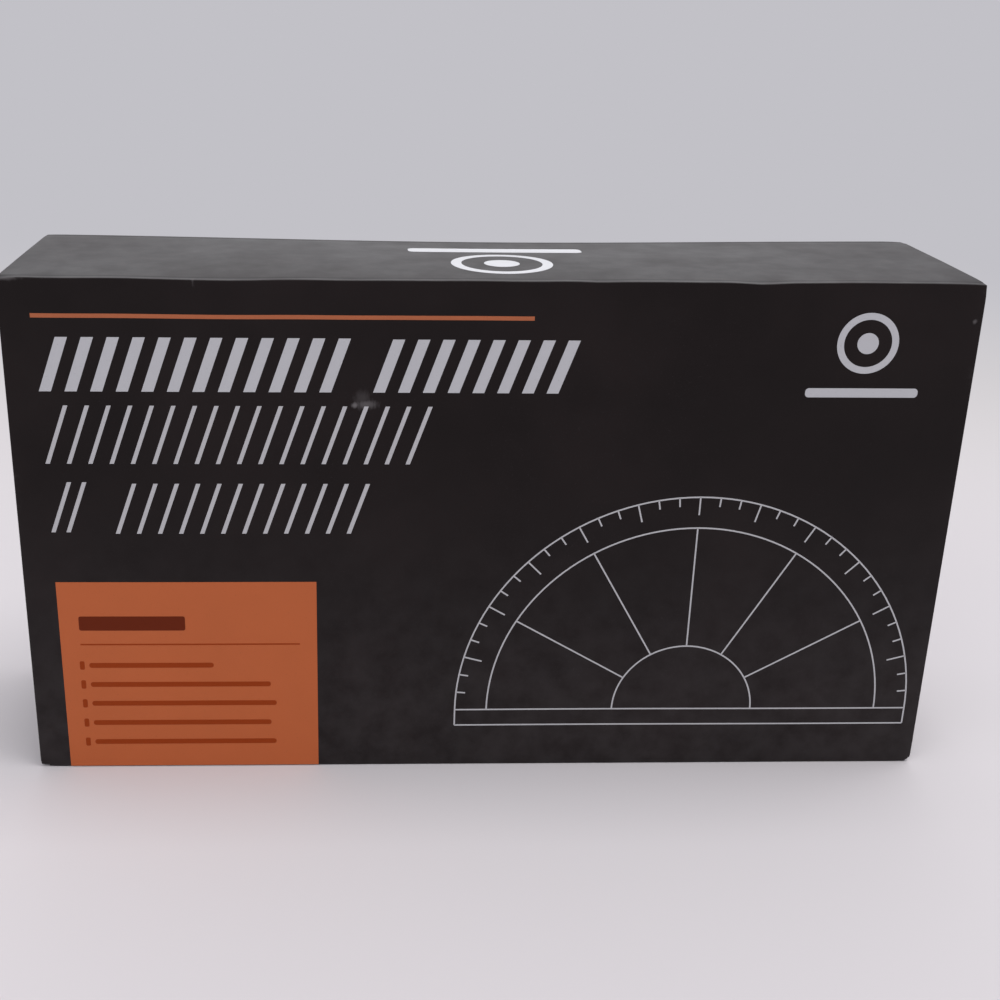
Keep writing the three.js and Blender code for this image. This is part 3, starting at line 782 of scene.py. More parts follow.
@cache
def knit_group() -> Tree:
    """Plain knit in X and Z.

    Returns:
        A group of columns of slanting stitches, with painted shade that darkens the grooves between them.
    """
    group = Group("plain_knit", Yarn="Color", Fleck="Color", Column="Float", Course="Float")
    given, cloud = group.given, group.noise(60.0, 2.0, 0.5, output="Color")
    drift = group.vector("MULTIPLY", cloud, (0.0011, 0.0, 0.0011))
    x, _, z = group.split(group.vector("ADD", group.place, drift))
    column = group.math("FRACT", group.math("DIVIDE", x, given["Column"]))
    fold = group.math("ABSOLUTE", group.scaled(column, 2.0, -1.0))
    row = group.scaled(fold, 0.55, group.math("DIVIDE", z, given["Course"]))
    ripple = group.scaled(group.math("SINE", group.times(row, 2 * math.pi)), 0.5, 0.5)
    leg = group.math("MAXIMUM", group.math("SINE", group.times(fold, math.pi)), 0.0)
    height = group.times(group.math("POWER", leg, 0.5), group.scaled(ripple, 0.7, 0.3))
    flecks = group.fade(group.noise(1600.0, 2.0, 0.7), 0.48, 0.66)
    yarn = group.mix(flecks, given["Yarn"], given["Fleck"])
    # Painted shade: the yarn darkens towards near-black where the stitches are low, in the grooves between
    # them.
    colour = group.mix(group.scaled(height, 0.75, 0.25), linear(20, 21, 23), yarn)
    return group.put(Color=colour, Height=height)


class Coat(Nodes):
    """One material in the making: its Principled shader, its place and what feeds them."""

    def __init__(self, name: str, **constants: Value) -> None:
        """Starts a material.

        Args:
            name: the material's name.
            constants: plain values of the shader's sockets, with _ for a space.
        """
        self.material = bpy.data.materials.new(name)
        self.material.use_nodes = True
        super().__init__(self.material.node_tree)
        self.tree.nodes.clear()
        self.shader = self.add("BsdfPrincipled", {k.replace("_", " "): v for k, v in constants.items()})
        self.output = self.add("OutputMaterial", {"Surface": self.shader.outputs["BSDF"]})
        self.place = self.add("TexCoord").outputs["Object"]

    def group(self, tree: Tree, place: Socket | None = None,
              **inputs: Value) -> bpy.types.bpy_prop_collection:
        """The outputs of a shared group, placed in this coat."""
        return self.add("Group", {"Vector": place or self.place, **inputs}, node_tree=tree).outputs

    def feed(self, **sockets: Socket) -> "Coat":
        """Links values to the shader.

        Args:
            sockets: what each socket takes, with _ for a space.

        Returns:
            This coat.
        """
        for key, value in sockets.items():
            self.tree.links.new(value, self.shader.inputs[key.replace("_", " ")])
        return self

    def bump(self, height: Socket, distance: float, strength: float = 1.0) -> "Coat":
        """Adds relief of the given distance, in metres."""
        inputs = {"Height": height, "Distance": distance, "Strength": strength}
        return self.feed(Normal=self.add("Bump", inputs).outputs["Normal"])

    def centred(self, centre: Triple, turn: Triple) -> Socket:
        """Object coordinates measured from a centre and then turned."""
        return self.mapped(self.vector("SUBTRACT", self.place, centre), Rotation=turn)


@dataclass(frozen=True)
class WrapPaper:
    """Black matt-laminated paper wrapped round greyboard, with rubbed edges and a few marks.

    Attributes:
        colour: of the print under the film.
        worn: colour of the bare fibres at rubbed edges.
        roughness: of the film.
        gloss: how strongly the film reflects, where 0.5 is plain for its kind.
        haze: soft grey sheen of the matt film at low angles.
        scuffing: how far the edges are rubbed bare.
        dust: share of painted floor bounce light, pale patches on its lowest parts.
        bounce_top: height where this painted light ends.
        spots: centre, half sizes and strength of each rubbed or soiled place, in millimetres.
    """

    colour: Triple = (13, 4, 4)
    worn: Triple = (112, 108, 109)
    roughness: float = 0.46
    gloss: float = 0.2
    haze: float = 0.12
    scuffing: float = 0.45
    dust: float = 0.12
    bounce_top: float = 95 * MM
    spots: tuple[tuple[Triple, Triple, float], ...] = ()

    def build(self, name: str) -> Material:
        """Makes the paper.

        Args:
            name: the material's name.

        Returns:
            The material.
        """
        coat = Coat(name, IOR=1.48, Specular_IOR_Level=self.gloss, Sheen_Weight=self.haze,
                    Sheen_Roughness=0.35)
        edge = coat.add("Attribute", attribute_name="edge", attribute_type="GEOMETRY").outputs["Fac"]
        fibre = coat.noise(2300.0, 3.0, 0.65)
        cloud = coat.noise(26.0, 3.0, 0.55)
        smear = coat.noise(130.0, 4.0, 0.6)
        lifted = tuple(min(255, c + 11) for c in self.colour)
        # Painted floor bounce light: the lowest parts turn paler in patches of the worn colour, fading out
        # upwards.
        towards_floor = coat.rest(coat.fade(coat.split(coat.place)[2], 0.0, self.bounce_top))
        dust = coat.times(towards_floor, coat.times(coat.fade(smear, 0.1, 0.8), self.dust))
        colour = coat.mix(coat.fade(cloud, 0.3, 0.75), linear(*self.colour), linear(*lifted))
        colour = coat.mix(coat.times(coat.fade(fibre, 0.6, 0.8), 0.1), colour, linear(*self.worn))
        wear_and_bounce_mask = coat.group(scuff_group(), Edge=edge, Amount=self.scuffing)["Mask"]
        # The painted floor bounce light joins the rubbed edges and spots in one mask.
        wear_and_bounce_mask = coat.math("MAXIMUM", wear_and_bounce_mask, dust)
        for centre, size, strength in self.spots:
            centre, size = (tuple(value * MM for value in values) for values in (centre, size))
            spot = coat.group(spot_group(), Centre=centre, Size=size)["Mask"]
            wear_and_bounce_mask = coat.math("MAXIMUM", wear_and_bounce_mask, coat.times(spot, strength))
        colour = coat.mix(wear_and_bounce_mask, colour, linear(*self.worn))
        rough = coat.scaled(coat.plus(cloud, smear), 0.2, self.roughness - 0.2)
        rough = coat.scaled(wear_and_bounce_mask, 0.25, rough)
        height = coat.scaled(smear, 2.0, coat.times(fibre, 0.5))
        return coat.feed(Base_Color=colour, Roughness=rough).bump(height, 0.02 * MM, 0.5).material


@dataclass(frozen=True)
class Ink:
    """A flat area or line printed on the cover, a little uneven, with pinholes where paper shows.

    Attributes:
        colour: of the ink.
        roughness, gloss: of the film over it.
        unevenness: share of paper black that shows through in clouds.
    """

    colour: Triple
    roughness: float = 0.5
    unevenness: float = 0.08
    gloss: float = 0.35

    def build(self, name: str) -> Material:
        """Makes the ink.

        Args:
            name: the material's name.

        Returns:
            The material.
        """
        coat = Coat(name, IOR=1.48, Specular_IOR_Level=self.gloss)
        cloud = coat.noise(60.0, 4.0, 0.6)
        speck = coat.fade(coat.noise(2600.0, 2.0, 0.6), 0.66, 0.74)
        share = coat.scaled(speck, 0.18, coat.times(cloud, self.unevenness))
        colour = coat.mix(share, linear(*self.colour), linear(36, 30, 30))
        fibre = coat.noise(2300.0, 3.0, 0.65)
        rough = coat.scaled(cloud, 0.12, self.roughness - 0.06)
        return coat.feed(Base_Color=colour, Roughness=rough).bump(fibre, 0.02 * MM, 0.35).material


@dataclass(frozen=True)
class Foam:
    """Black closed-cell foam: small cells, broad unevenness and dust caught in the cells.

    Attributes:
        body, dust: colours of the foam and of the dust in its cells.
    """

    body: Triple = (31, 31, 33)
    dust: Triple = (74, 74, 78)

    def build(self, name: str) -> Material:
        """Makes the foam.

        Args:
            name: the material's name.

        Returns:
            The material.
        """
        coat = Coat(name, Roughness=0.93, IOR=1.4)
        cells = coat.add("TexVoronoi", {"Vector": coat.place, "Scale": 1700.0}).outputs["Distance"]
        fine, broad = coat.noise(4200.0, 2.0, 0.6), coat.noise(70.0, 3.0, 0.55)
        dust = coat.times(coat.fade(cells, 0.5, 0.9), coat.scaled(broad, 1.1, -0.2))
        colour = coat.mix(dust, linear(*self.body), linear(*self.dust))
        height = coat.scaled(fine, 0.6, cells)
        return coat.feed(Base_Color=colour).bump(height, 0.12 * MM, 0.8).material


@dataclass(frozen=True)
class Wood:
    """Oiled wood whose grain runs along X from a centre, after a turn.

    Attributes:
        light, dark: early wood, and late wood with its pores.
        centre: where the pattern is measured from.
        turn: rotation of the grain.
    """

    light: Triple = (164, 108, 66)
    dark: Triple = (86, 49, 28)
    centre: Triple = (0.0, 0.0, 0.0)
    turn: Triple = (0.0, 0.0, 0.0)

    def build(self, name: str) -> Material:
        """Makes the wood.

        Args:
            name: the material's name.

        Returns:
            The material.
        """
        coat = Coat(name, IOR=1.46)
        out = coat.group(grain_group(), coat.centred(self.centre, self.turn), Light=linear(*self.light),
                         Dark=linear(*self.dark))
        coat.feed(Base_Color=out["Color"], Roughness=out["Roughness"])
        return coat.bump(out["Height"], 0.06 * MM, 0.6).material


@dataclass(frozen=True)
class TurnedMetal:
    """Metal turned round X or Y, with lathe marks and smears.

    Attributes:
        colour: of the metal.
        centre: a point on the axis.
        turn: rotation that brings the axis to X.
        pitch: lathe marks a metre.
        dull: added to the roughness.
        relief: height of the marks.
    """

    colour: Triple
    centre: Triple
    turn: Triple = (0.0, 0.0, 0.0)
    pitch: float = 5200.0
    dull: float = 0.0
    relief: float = 0.012 * MM

    def build(self, name: str) -> Material:
        """Makes the metal.

        Args:
            name: the material's name.

        Returns:
            The material.
        """
        coat = Coat(name, Metallic=1.0)
        out = coat.group(turning_group(), coat.centred(self.centre, self.turn), Pitch=self.pitch)
        stain = coat.fade(coat.noise(160.0, 4.0, 0.6), 0.45, 0.8)
        darker = tuple(c * 0.82 for c in self.colour)
        colour = coat.mix(stain, linear(*self.colour), linear(*darker))
        rough = coat.plus(out["Roughness"], self.dull)
        return coat.feed(Base_Color=colour, Roughness=rough).bump(out["Height"], self.relief, 0.7).material


@dataclass(frozen=True)
class Grit:
    """Abrasive bonded to a plate.

    Attributes:
        bond, crystal: colours between the crystals and of them.
        grain: crystals a metre.
        metal: share that reflects as metal.
        relief: height of the crystals.
        axis: across the disc.
        holes: spacing of round bare spots, or 0 for none.
    """

    bond: Triple
    crystal: Triple
    grain: float
    metal: float = 0.0
    relief: float = 0.08 * MM
    axis: Axis = Axis.X
    holes: float = 0.0

    def build(self, name: str) -> Material:
        """Makes the abrasive.

        Args:
            name: the material's name.

        Returns:
            The material.
        """
        coat = Coat(name, Metallic=self.metal)
        out = coat.group(grit_group(), Grain=self.grain, Bond=linear(*self.bond),
                         Crystal=linear(*self.crystal))
        colour, height = out["Color"], out["Height"]
        if self.holes:
            x, y, z = coat.split(coat.place)
            first = coat.times(y if self.axis is Axis.X else x, 1 / self.holes)
            second = coat.times(z, 1 / self.holes)
            flat = coat.add("CombineXYZ", {0: first, 1: second}).outputs[0]
            spots = coat.add("TexVoronoi", {"Vector": flat, "Scale": 1.0, "Randomness": 0.0})
            bare = coat.rest(coat.fade(spots.outputs["Distance"], 0.2, 0.24))
            colour = coat.mix(bare, colour, linear(150, 151, 154))
            height = coat.scaled(bare, -2.0, height)
        coat.feed(Base_Color=colour, Roughness=out["Roughness"])
        return coat.bump(height, self.relief, 0.8).material


@dataclass(frozen=True)
class Rubber:
    """Moulded rubber or silicone, a little dusty.

    Attributes:
        colour: of the rubber.
        roughness: of its skin.
        dust: share of pale dust.
    """

    colour: Triple = (25, 25, 26)
    roughness: float = 0.62
    dust: float = 0.12

    def build(self, name: str) -> Material:
        """Makes the rubber.

        Args:
            name: the material's name.

        Returns:
            The material.
        """
        coat = Coat(name, IOR=1.5)
        fine, broad = coat.noise(3200.0, 2.0, 0.6), coat.noise(90.0, 4.0, 0.65)
        dusty = coat.times(coat.fade(broad, 0.4, 0.8), self.dust)
        colour = coat.mix(dusty, linear(*self.colour), linear(128, 126, 122))
        rough = coat.scaled(broad, 0.2, self.roughness - 0.1)
        return coat.feed(Base_Color=colour, Roughness=rough).bump(fine, 0.03 * MM, 0.6).material


@dataclass(frozen=True)
class Knit:
    """Knitted yarn with flecks, as of a cut-resistant glove.

    Attributes:
        yarn: main colour.
        fleck: colour of the mixed-in fibres.
        column, course: width of a column of stitches and height of a row.
    """

    yarn: Triple = (133, 137, 143)
    fleck: Triple = (196, 199, 203)
    column: float = 1.7 * MM
    course: float = 1.3 * MM

    def build(self, name: str) -> Material:
        """Makes the knit.

        Args:
            name: the material's name.

        Returns:
            The material.
        """
        coat = Coat(name, Roughness=0.9, Sheen_Weight=0.25, Sheen_Roughness=0.5)
        out = coat.group(knit_group(), Yarn=linear(*self.yarn), Fleck=linear(*self.fleck),
                         Column=self.column, Course=self.course)
        fuzz = coat.noise(5200.0, 3.0, 0.7)
        height = coat.scaled(fuzz, 0.35, out["Height"])
        return coat.feed(Base_Color=out["Color"]).bump(height, 0.35 * MM, 0.9).material


def dress_metal(node: str, name: str, colour: Triple, **settings: Value) -> None:
    """Gives a CAD node that stays a metal.

    Args:
        node: the CAD node.
        name: the material's name.
        colour: of the metal.
        settings: the metal's other values.
    """
    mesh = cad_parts[node].data
    mesh.materials.clear()
    mesh.materials.append(TurnedMetal(colour, tuple(middle_of(node)), **settings).build(name))


# Case


@dataclass
class Handling:
    """What handling has done to the case: shallow waves, a sagging top and crushed corners.

    Attributes:
        wave: depth of the cover's waves.
        sag: how far the top's back edge has sunk at its lowest.
        dents: place along X, half width and depth of each dent in the top's front edge, in
            millimetres, where a rise has a depth below 0.
        ripple: depth of that edge's small waves.
        crush: how far the crushed corners are pushed in.
        foot, foot_left: radius of the lower right corners and of the left ones, which are still sharp.
        curl: how far the cover's lower left corner has curled up.
        front_depth: how far behind the cover its waves and its curl fade out.
        top_depth: how far below the top its sag and its dents fade out.
        dent_depth: how far behind the cover the dents fade out.
        crushed_within, curled_within: reach of a crushed corner and of the curl.
        directions: shares of the crush in X, Y and Z.
    """

    wave: float = 0.16 * MM
    sag: float = 1.6 * MM
    dents: tuple[Triple, ...] = ((-72, 14, 0.3), (-35, 55, 0.17), (26, 5, 0.2), (68, 6, 0.5),
                                 (97, 15, -0.12))
    ripple: float = 0.07 * MM
    crush: float = 0.9 * MM
    foot: float = 2.0 * MM
    foot_left: float = 0.2 * MM
    curl: float = 0.55 * MM
    front_depth: float = 3 * MM
    top_depth: float = 9 * MM
    dent_depth: float = 7 * MM
    crushed_within: float = 2.6 * MM
    curled_within: float = 2.2 * MM
    directions: Triple = (1.0, 0.35, 0.8)

    def __post_init__(self) -> None:
        """Reads the case's corners from the frame."""
        self.low, self.high = span("cover_panel")
        self.back = span("back_panel")[1][1]

    def __call__(self, points: Array) -> Array:
        """Moves points of the case.

        The cover's waves are a product of sines of X and Z, which fade towards its edges and
        behind it. The sag and the dents are bell curves of X, which fade with the distance from
        the edge that they bend. A crushed corner draws points towards the case's middle by a
        bell curve of their distance from it. At the lower corners, a square of points becomes a
        quarter disc: each is drawn in by the ratio of its larger coordinate to its length.

        Args:
            points: n by 3.

        Returns:
            The moved points.
        """
        x, y, z = points.T
        half, top, front, back = self.high[0], self.high[2], self.low[1], self.back
        moved = points.copy()
        foot = np.where(x > 0, self.foot, self.foot_left)
        across = np.clip((np.abs(x) - half + foot) / foot, TINY, 1)
        down = np.clip((foot - z) / foot, TINY, 1)
        drawn = 1 - np.maximum(across, down) / np.hypot(across, down)
        in_corner = (across > 1e-6) & (down > 1e-6)
        moved[:, 0] -= in_corner * np.sign(x) * drawn * across * foot
        moved[:, 2] += in_corner * drawn * down * foot
        near_front = bell(y - front, self.front_depth)
        inside = np.clip(1 - (x / half) ** 4, 0, 1) * np.clip(1 - (2 * z / top - 1) ** 4, 0, 1)
        waves = np.sin(x / (31 * MM) + 0.7) * np.sin(z / (23 * MM) + 0.4)
        waves = waves + 0.5 * np.sin(x / (17 * MM) - z / (29 * MM))
        moved[:, 1] += self.wave * waves * inside * near_front
        near_top = bell(z - top, self.top_depth)
        rear = 1 / (1 + np.exp(-(y - 12 * MM) / (7 * MM)))
        moved[:, 2] -= self.sag * bell(x - 1 * MM, 91 * MM) * rear * near_top
        front_edge = bell(y - front, self.dent_depth) * near_top
        sunk = self.ripple * np.sin(x / (4.7 * MM)) * np.sin(x / (19 * MM) + 1)
        for place, width, depth in self.dents:
            sunk = sunk + depth * MM * bell(x - place * MM, width * MM)
        moved[:, 2] -= sunk * front_edge
        curled = bell(np.hypot(x + half, z), self.curled_within)
        moved[:, 2] += self.curl * curled * near_front * (z < 4 * MM)
        shares = {(half, front, top): 0.25, (-half, front, top): 0.6, (half, back, top): 0.3,
                  (-half, back, top): 0.15, (half, front, 0): 0.05}
        for corner, share in shares.items():
            nearness = np.exp(-np.sum((points - corner) ** 2, axis=1) / self.crushed_within**2)
            inward = np.sign(np.array([0, 0, top / 2]) - corner)
            moved += (self.crush * share * nearness)[:, None] * inward * self.directions
        moved[:, 2] = np.maximum(moved[:, 2], 0.0)
        return moved


@dataclass
class GiftCase:
    """Book-style case of wrapped boards: cover, spine, back, flap and the paper that joins them.

    The cover's printed paper runs from its lower edge up the front, over the spine and a little
    way down the back. A second strip joins the cover's lower edge to the flap.

    Attributes:
        paper: thickness of the wrap.
        film: how far the print stands proud of the paper.
        edge, corner: radius of a board's wrapped edges and of its corners.
        groove, groove_half: depth and half width of the pressed crease between two boards.
        reach: how far the joining paper runs onto a board.
        lap: where the cover's paper ends above the underside.
        trim: how much shorter the strip to the flap is at its left end.
        path_step: most that two points of the paper's path lie apart.
        columns: points along the paper's width.
        spots: the wrap's rubbed or soiled places.
        handling: how the case is bent.
    """

    paper: float = 0.1 * MM
    film: float = 0.05 * MM
    edge: float = 0.2 * MM
    corner: float = 0.4 * MM
    groove: float = 0.06 * MM
    groove_half: float = 0.8 * MM
    reach: float = 7 * MM
    lap: float = 1.3 * MM
    trim: float = 1.1 * MM
    path_step: float = 3.5 * MM
    columns: int = 96
    spots: tuple[tuple[Triple, Triple, float], ...] = (
        ((-36.4, -30.5, 108.5), (1.1, 3, 0.9), 0.85), ((-33.4, -30.5, 108.7), (3.2, 3, 1.5), 0.55),
        ((-34.3, -30.5, 110.4), (2.6, 3, 2.6), 0.2), ((124.2, -30.5, 131.8), (0.7, 3, 0.7), 0.5),
        ((-114.8, -0.9, 141.6), (4.5, 3.5, 3), 0.15), ((-97.6, -12.7, 141.6), (2.4, 2.4, 3), 0.2),
        ((-77.0, -29.9, 141.6), (0.5, 0.8, 3), 0.5), ((-123.5, -30.4, 141.4), (4.0, 1.2, 0.8), 0.4))
    handling: Handling = field(default_factory=Handling)

    def build(self) -> None:
        """Makes every piece of the case."""
        wrap = WrapPaper(spots=self.spots).build("case_wrap_paper")
        inner = WrapPaper(colour=(34, 31, 32), roughness=0.6, scuffing=0.3).build("inner_wrap_paper")
        self.boards(wrap)
        self.creases(wrap)
        self.inside(inner)

    def boards(self, wrap: Material) -> None:
        """The four wrapped boards.

        Args:
            wrap: their paper.
        """
        thick = self.paper
        rows = [
            ("cover_board", "cover_panel", "cover", Axis.Y,
             (thick, self.film + 2 * thick, thick), (-thick, 0, -thick)),
            ("spine_board", "spine_panel", "base", Axis.Z, (thick, 0, 0), (-thick, 0, -thick)),
            ("back_board", "back_panel", "base", Axis.Y, (0, 0, 0), (0, -thick, -thick)),
            ("flap_board", "flap_panel", "flap", Axis.Z, (0, 0, thick), (0, 0, -1.5 * thick)),
        ]
        for name, node, body, facing, from_low, from_high in rows:
            low, high = span(node)
            surface = board(low + from_low, high + from_high, facing, self.corner, self.edge)
            piece = make_piece(name, surface.bent(self.handling), wrap, "wrapped_board")
            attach(piece, body)
            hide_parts(node)

    def crease_path(self, turns: list[Triple]) -> Array:
        """Joins straight runs in Y and Z with quarter turns.

        Args:
            turns: Y and Z of each corner and the radius of its turn, 0 for an end.

        Returns:
            n by 2 points, dense near the turns and at both ends.
        """
        corners = np.array([turn[:2] for turn in turns])
        pieces = [corners[:1]]
        angle = np.linspace(0, math.pi / 2, TURN_STEPS)[:, None]
        turn_ends = []
        for i in range(1, len(turns) - 1):
            radius = turns[i][2]
            before = corners[i - 1] - corners[i]
            after = corners[i + 1] - corners[i]
            before, after = before / np.linalg.norm(before), after / np.linalg.norm(after)
            centre = corners[i] + (before + after) * radius
            pieces.append(centre - after * radius * np.cos(angle) - before * radius * np.sin(angle))
            turn_ends += [(i - 1) * TURN_STEPS + 1, i * TURN_STEPS]
        pieces.append(corners[-1:])
        path = np.concatenate(pieces)
        length = along(path)
        near = (length[turn_ends][:, None] + np.linspace(-4, 4, 25) * MM).reshape(-1)
        from_end = np.linspace(0, 2, 5) * MM
        ends = np.r_[from_end, length[-1] - from_end]
        even = np.linspace(0, length[-1], max(3, int(length[-1] / self.path_step)))
        place = np.unique(np.round(np.clip(np.r_[length, near, ends, even], 0, length[-1]), 7))
        return np.stack([np.interp(place, length, path[:, i]) for i in (0, 1)], axis=1)

    def sheet(self, path: Array, half: float, turned_in: bool) -> Surface:
        """Paper of the wrap's thickness along a path in Y and Z, between X of -half and +half.

        Its outer side is the path, and its inner side lies one thickness further in, square to
        the path. At both ends of the path the paper sinks into the board over two millimetres.
        Where it is turned in, its side edges go round a board's edge: with an angle from 0 to
        nearly a right angle, they move out by the radius times its sine and in by the radius
        less the radius times its cosine.

        Args:
            path: n by 2 points.
            half: half of the paper's width.
            turned_in: whether the side edges are turned in.

        Returns:
            The paper, marked "edge" at its turns and its sides.
        """
        direction = np.gradient(path, axis=0)
        direction /= np.linalg.norm(direction, axis=1, keepdims=True)
        inward = np.stack([-direction[:, 1], direction[:, 0]], axis=1)
        length = along(path)
        from_end = np.minimum(length, length[-1] - length)
        sink = 0.7 * self.paper * (1 - np.clip(from_end / (2 * MM), 0, 1))
        radius = self.edge + self.paper
        steps = np.radians([85, 72, 58, 44, 30, 15] if turned_in else [])
        flat = np.linspace(-1, 1, self.columns) * (half - radius * turned_in)
        aside = flat[-1] + radius * np.sin(steps)
        x = np.r_[-aside, flat, aside[::-1]]
        fall = radius * (1 - np.cos(steps))
        fall = np.r_[fall, np.zeros(len(flat)), fall[::-1]]
        outer = path[None] + inward[None] * (sink[None] + fall[:, None])[..., None]
        inner = outer + inward[None] * self.paper
        yz = np.concatenate([outer, inner[:, ::-1]], axis=1)
        across = np.broadcast_to(x[:, None, None], (*yz.shape[:2], 1))
        surface = swept(np.concatenate([across, yz], axis=-1))
        turning = np.linalg.norm(np.gradient(direction, axis=0), axis=1)
        turning = np.convolve(turning / turning.max(), [0.25, 0.5, 0.25], "same")
        side = np.exp(-np.minimum(x - x[0], x[-1] - x) / (0.9 * MM))
        near = np.maximum(0.5 * np.r_[turning, turning[::-1]][None, :], side[:, None])
        return surface.marked("edge", near.reshape(-1))

    def creases(self, wrap: Material) -> None:
        """The cover's paper with its crease over the spine, and the strip to the flap.

        Args:
            wrap: the paper.
        """
        low, high = span("cover_panel")
        front, top, back = low[1] + self.film, high[2], span("back_panel")[1][1]
        radius = self.edge + self.paper
        path = self.crease_path([(back, top - self.reach, 0), (back, top, radius),
                                 (front, top, radius), (front, self.lap, 0)])
        spine_low, spine_high = span("spine_panel")
        for hollow in (spine_low[1], spine_high[1]):
            on_top = path[:, 1] > top - 0.01 * MM
            path[:, 1] -= on_top * self.groove * bell(path[:, 0] - hollow, self.groove_half)
        over = self.sheet(path, high[0], True).bent(self.handling)
        piece = make_piece("cover_paper", over, wrap, "wrapped_board")
        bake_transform(piece)

        front += self.paper
        flap_low, flap_high = span("flap_panel")
        path = self.crease_path([(front, self.lap + 1.5 * MM, 0), (front, 0, radius),
                                 (flap_low[1] + self.reach, 0, 0)])
        half = flap_high[0] - 0.3 * MM
        under = self.sheet(path, half, False)
        under.points[:, 0] *= np.where(under.points[:, 0] < 0, 1 - self.trim / half, 1)
        piece = make_piece("flap_paper", under.bent(self.handling), wrap, "wrapped_board")
        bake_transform(piece)

    def inside(self, inner: Material) -> None:
        """Tray, cover lining and the closure's magnets and strikes.

        Args:
            inner: the paper inside.
        """
        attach(softened("tray_shell", "tray", inner, "wrapped_board", 0.35 * MM), "base")
        lining = softened("cover_lining_sheet", "cover_lining", inner, "lining_paper", 0.1 * MM)
        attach(lining, "cover")
        upright = {"turn": (0, math.pi / 2, 0), "dull": 0.2, "relief": 0.003 * MM}
        for side in ("left", "right"):
            for kind, colour in (("tray_strike", (168, 169, 172)), ("flap_magnet", NICKEL)):
                dress_metal(f"{kind}_{side}", f"{kind}_{side}_metal", colour, **upright)


# Foam and what lies in it


@dataclass
class FoamInsert:
    """Attributes:
        edge: radius of the foam's edges.
    """

    edge: float = 0.5 * MM

    def build(self) -> None:
        """Makes the three layers."""
        foam = Foam().build("black_foam")
        for layer in ("upper", "lower", "base"):
            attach(softened(f"foam_{layer}", f"insert_{layer}", foam, "foam", self.edge), "base")


def lettering(words: str, height: float, depth: float) -> Surface:
    """Plain numerals as a thin solid, centred on the origin, flat in X and Y.

    Args:
        words: the numerals.
        height: of a numeral.
        depth: from their front to their back.

    Returns:
        The solid.
    """
    curve = bpy.data.curves.new("numerals", "FONT")
    curve.body, curve.extrude = words, depth / 2
    curve.align_x, curve.align_y = "CENTER", "CENTER"
    curve.size = height / NUMERAL_SHARE
    curve.resolution_u = 4
    holder = linked("numerals", curve)
    solid = bpy.data.meshes.new_from_object(settled(holder))
    surface = Surface(vectors(solid), [list(face.vertices) for face in solid.polygons])
    bpy.data.objects.remove(holder)
    bpy.data.curves.remove(curve)
    bpy.data.meshes.remove(solid)
    return surface


@dataclass
class AngleBlock:
    """Five-sided wooden block with a round hole, a magnet and a soft pad on each side.

    Attributes:
        angles: degrees at each side, anticlockwise from the bottom side.
        edge, pad_edge: radius of the wood's edges and of the pads' edges.
        numeral: height of the numerals.
        numeral_place: how far from the block's middle the numerals stand.
        burn: how far the burnt numerals stand proud, enough to be drawn.
    """

    angles: tuple[int, ...] = (15, 12, 18, 20, 22)
    edge: float = 0.6 * MM
    pad_edge: float = 0.25 * MM
    numeral: float = 6.5 * MM
    numeral_place: float = 31.0 * MM
    burn: float = 0.04 * MM

    def build(self) -> None:
        """Makes the block, its mat, its pads, its magnets' finish and its numerals."""
        low, high = span("angle_block_body")
        heart = ((low[0] + high[0]) / 2, 0.03, 0.035)
        wood = Wood(centre=heart, turn=(0.25, 0.06, 0.04)).build("block_wood")
        rubber = Rubber(roughness=0.58).build("pad_rubber")
        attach(softened("angle_block_wood", "angle_block_body", wood, "wood", self.edge, 3), "base")
        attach(softened("angle_block_sole", "angle_block_mat", rubber, "rubber", self.pad_edge), "base")
        for i in range(1, len(self.angles) + 1):
            pad = softened(f"angle_block_face_{i}", f"angle_block_pad_{i}", rubber, "rubber", self.pad_edge)
            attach(pad, "base")
            node = f"angle_block_magnet_{i}"
            dress_metal(node, f"{node}_nickel", NICKEL, dull=0.08, relief=0.003 * MM)
        self.numerals(low[1])

    def numerals(self, front: float) -> None:
        """Burns each side's degrees into the block's front, with their tops towards the side.

        Args:
            front: Y of the block's front.
        """
        magnets = [middle_of(f"angle_block_magnet_{i}") for i in range(1, len(self.angles) + 1)]
        middle = np.mean(magnets, axis=0)
        solids = []
        for angle, magnet in zip(self.angles, magnets):
            up = (magnet - middle) * [1, 0, 1]
            up /= np.linalg.norm(up)
            level = np.array([up[2], 0, -up[0]])
            place = middle * [1, 0, 1] + up * self.numeral_place + [0, front - self.burn, 0]
            flat = lettering(f"{angle}°", self.numeral, self.burn * 3)
            solids.append(Surface(flat.points @ np.stack([level, up, [0, -1, 0]]) + place, flat.faces))
        burnt = Ink((38, 22, 14), roughness=0.75, unevenness=0.2).build("burnt_wood")
        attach(make_piece("angle_block_numerals", together(solids), burnt, "wood", 30), "base")


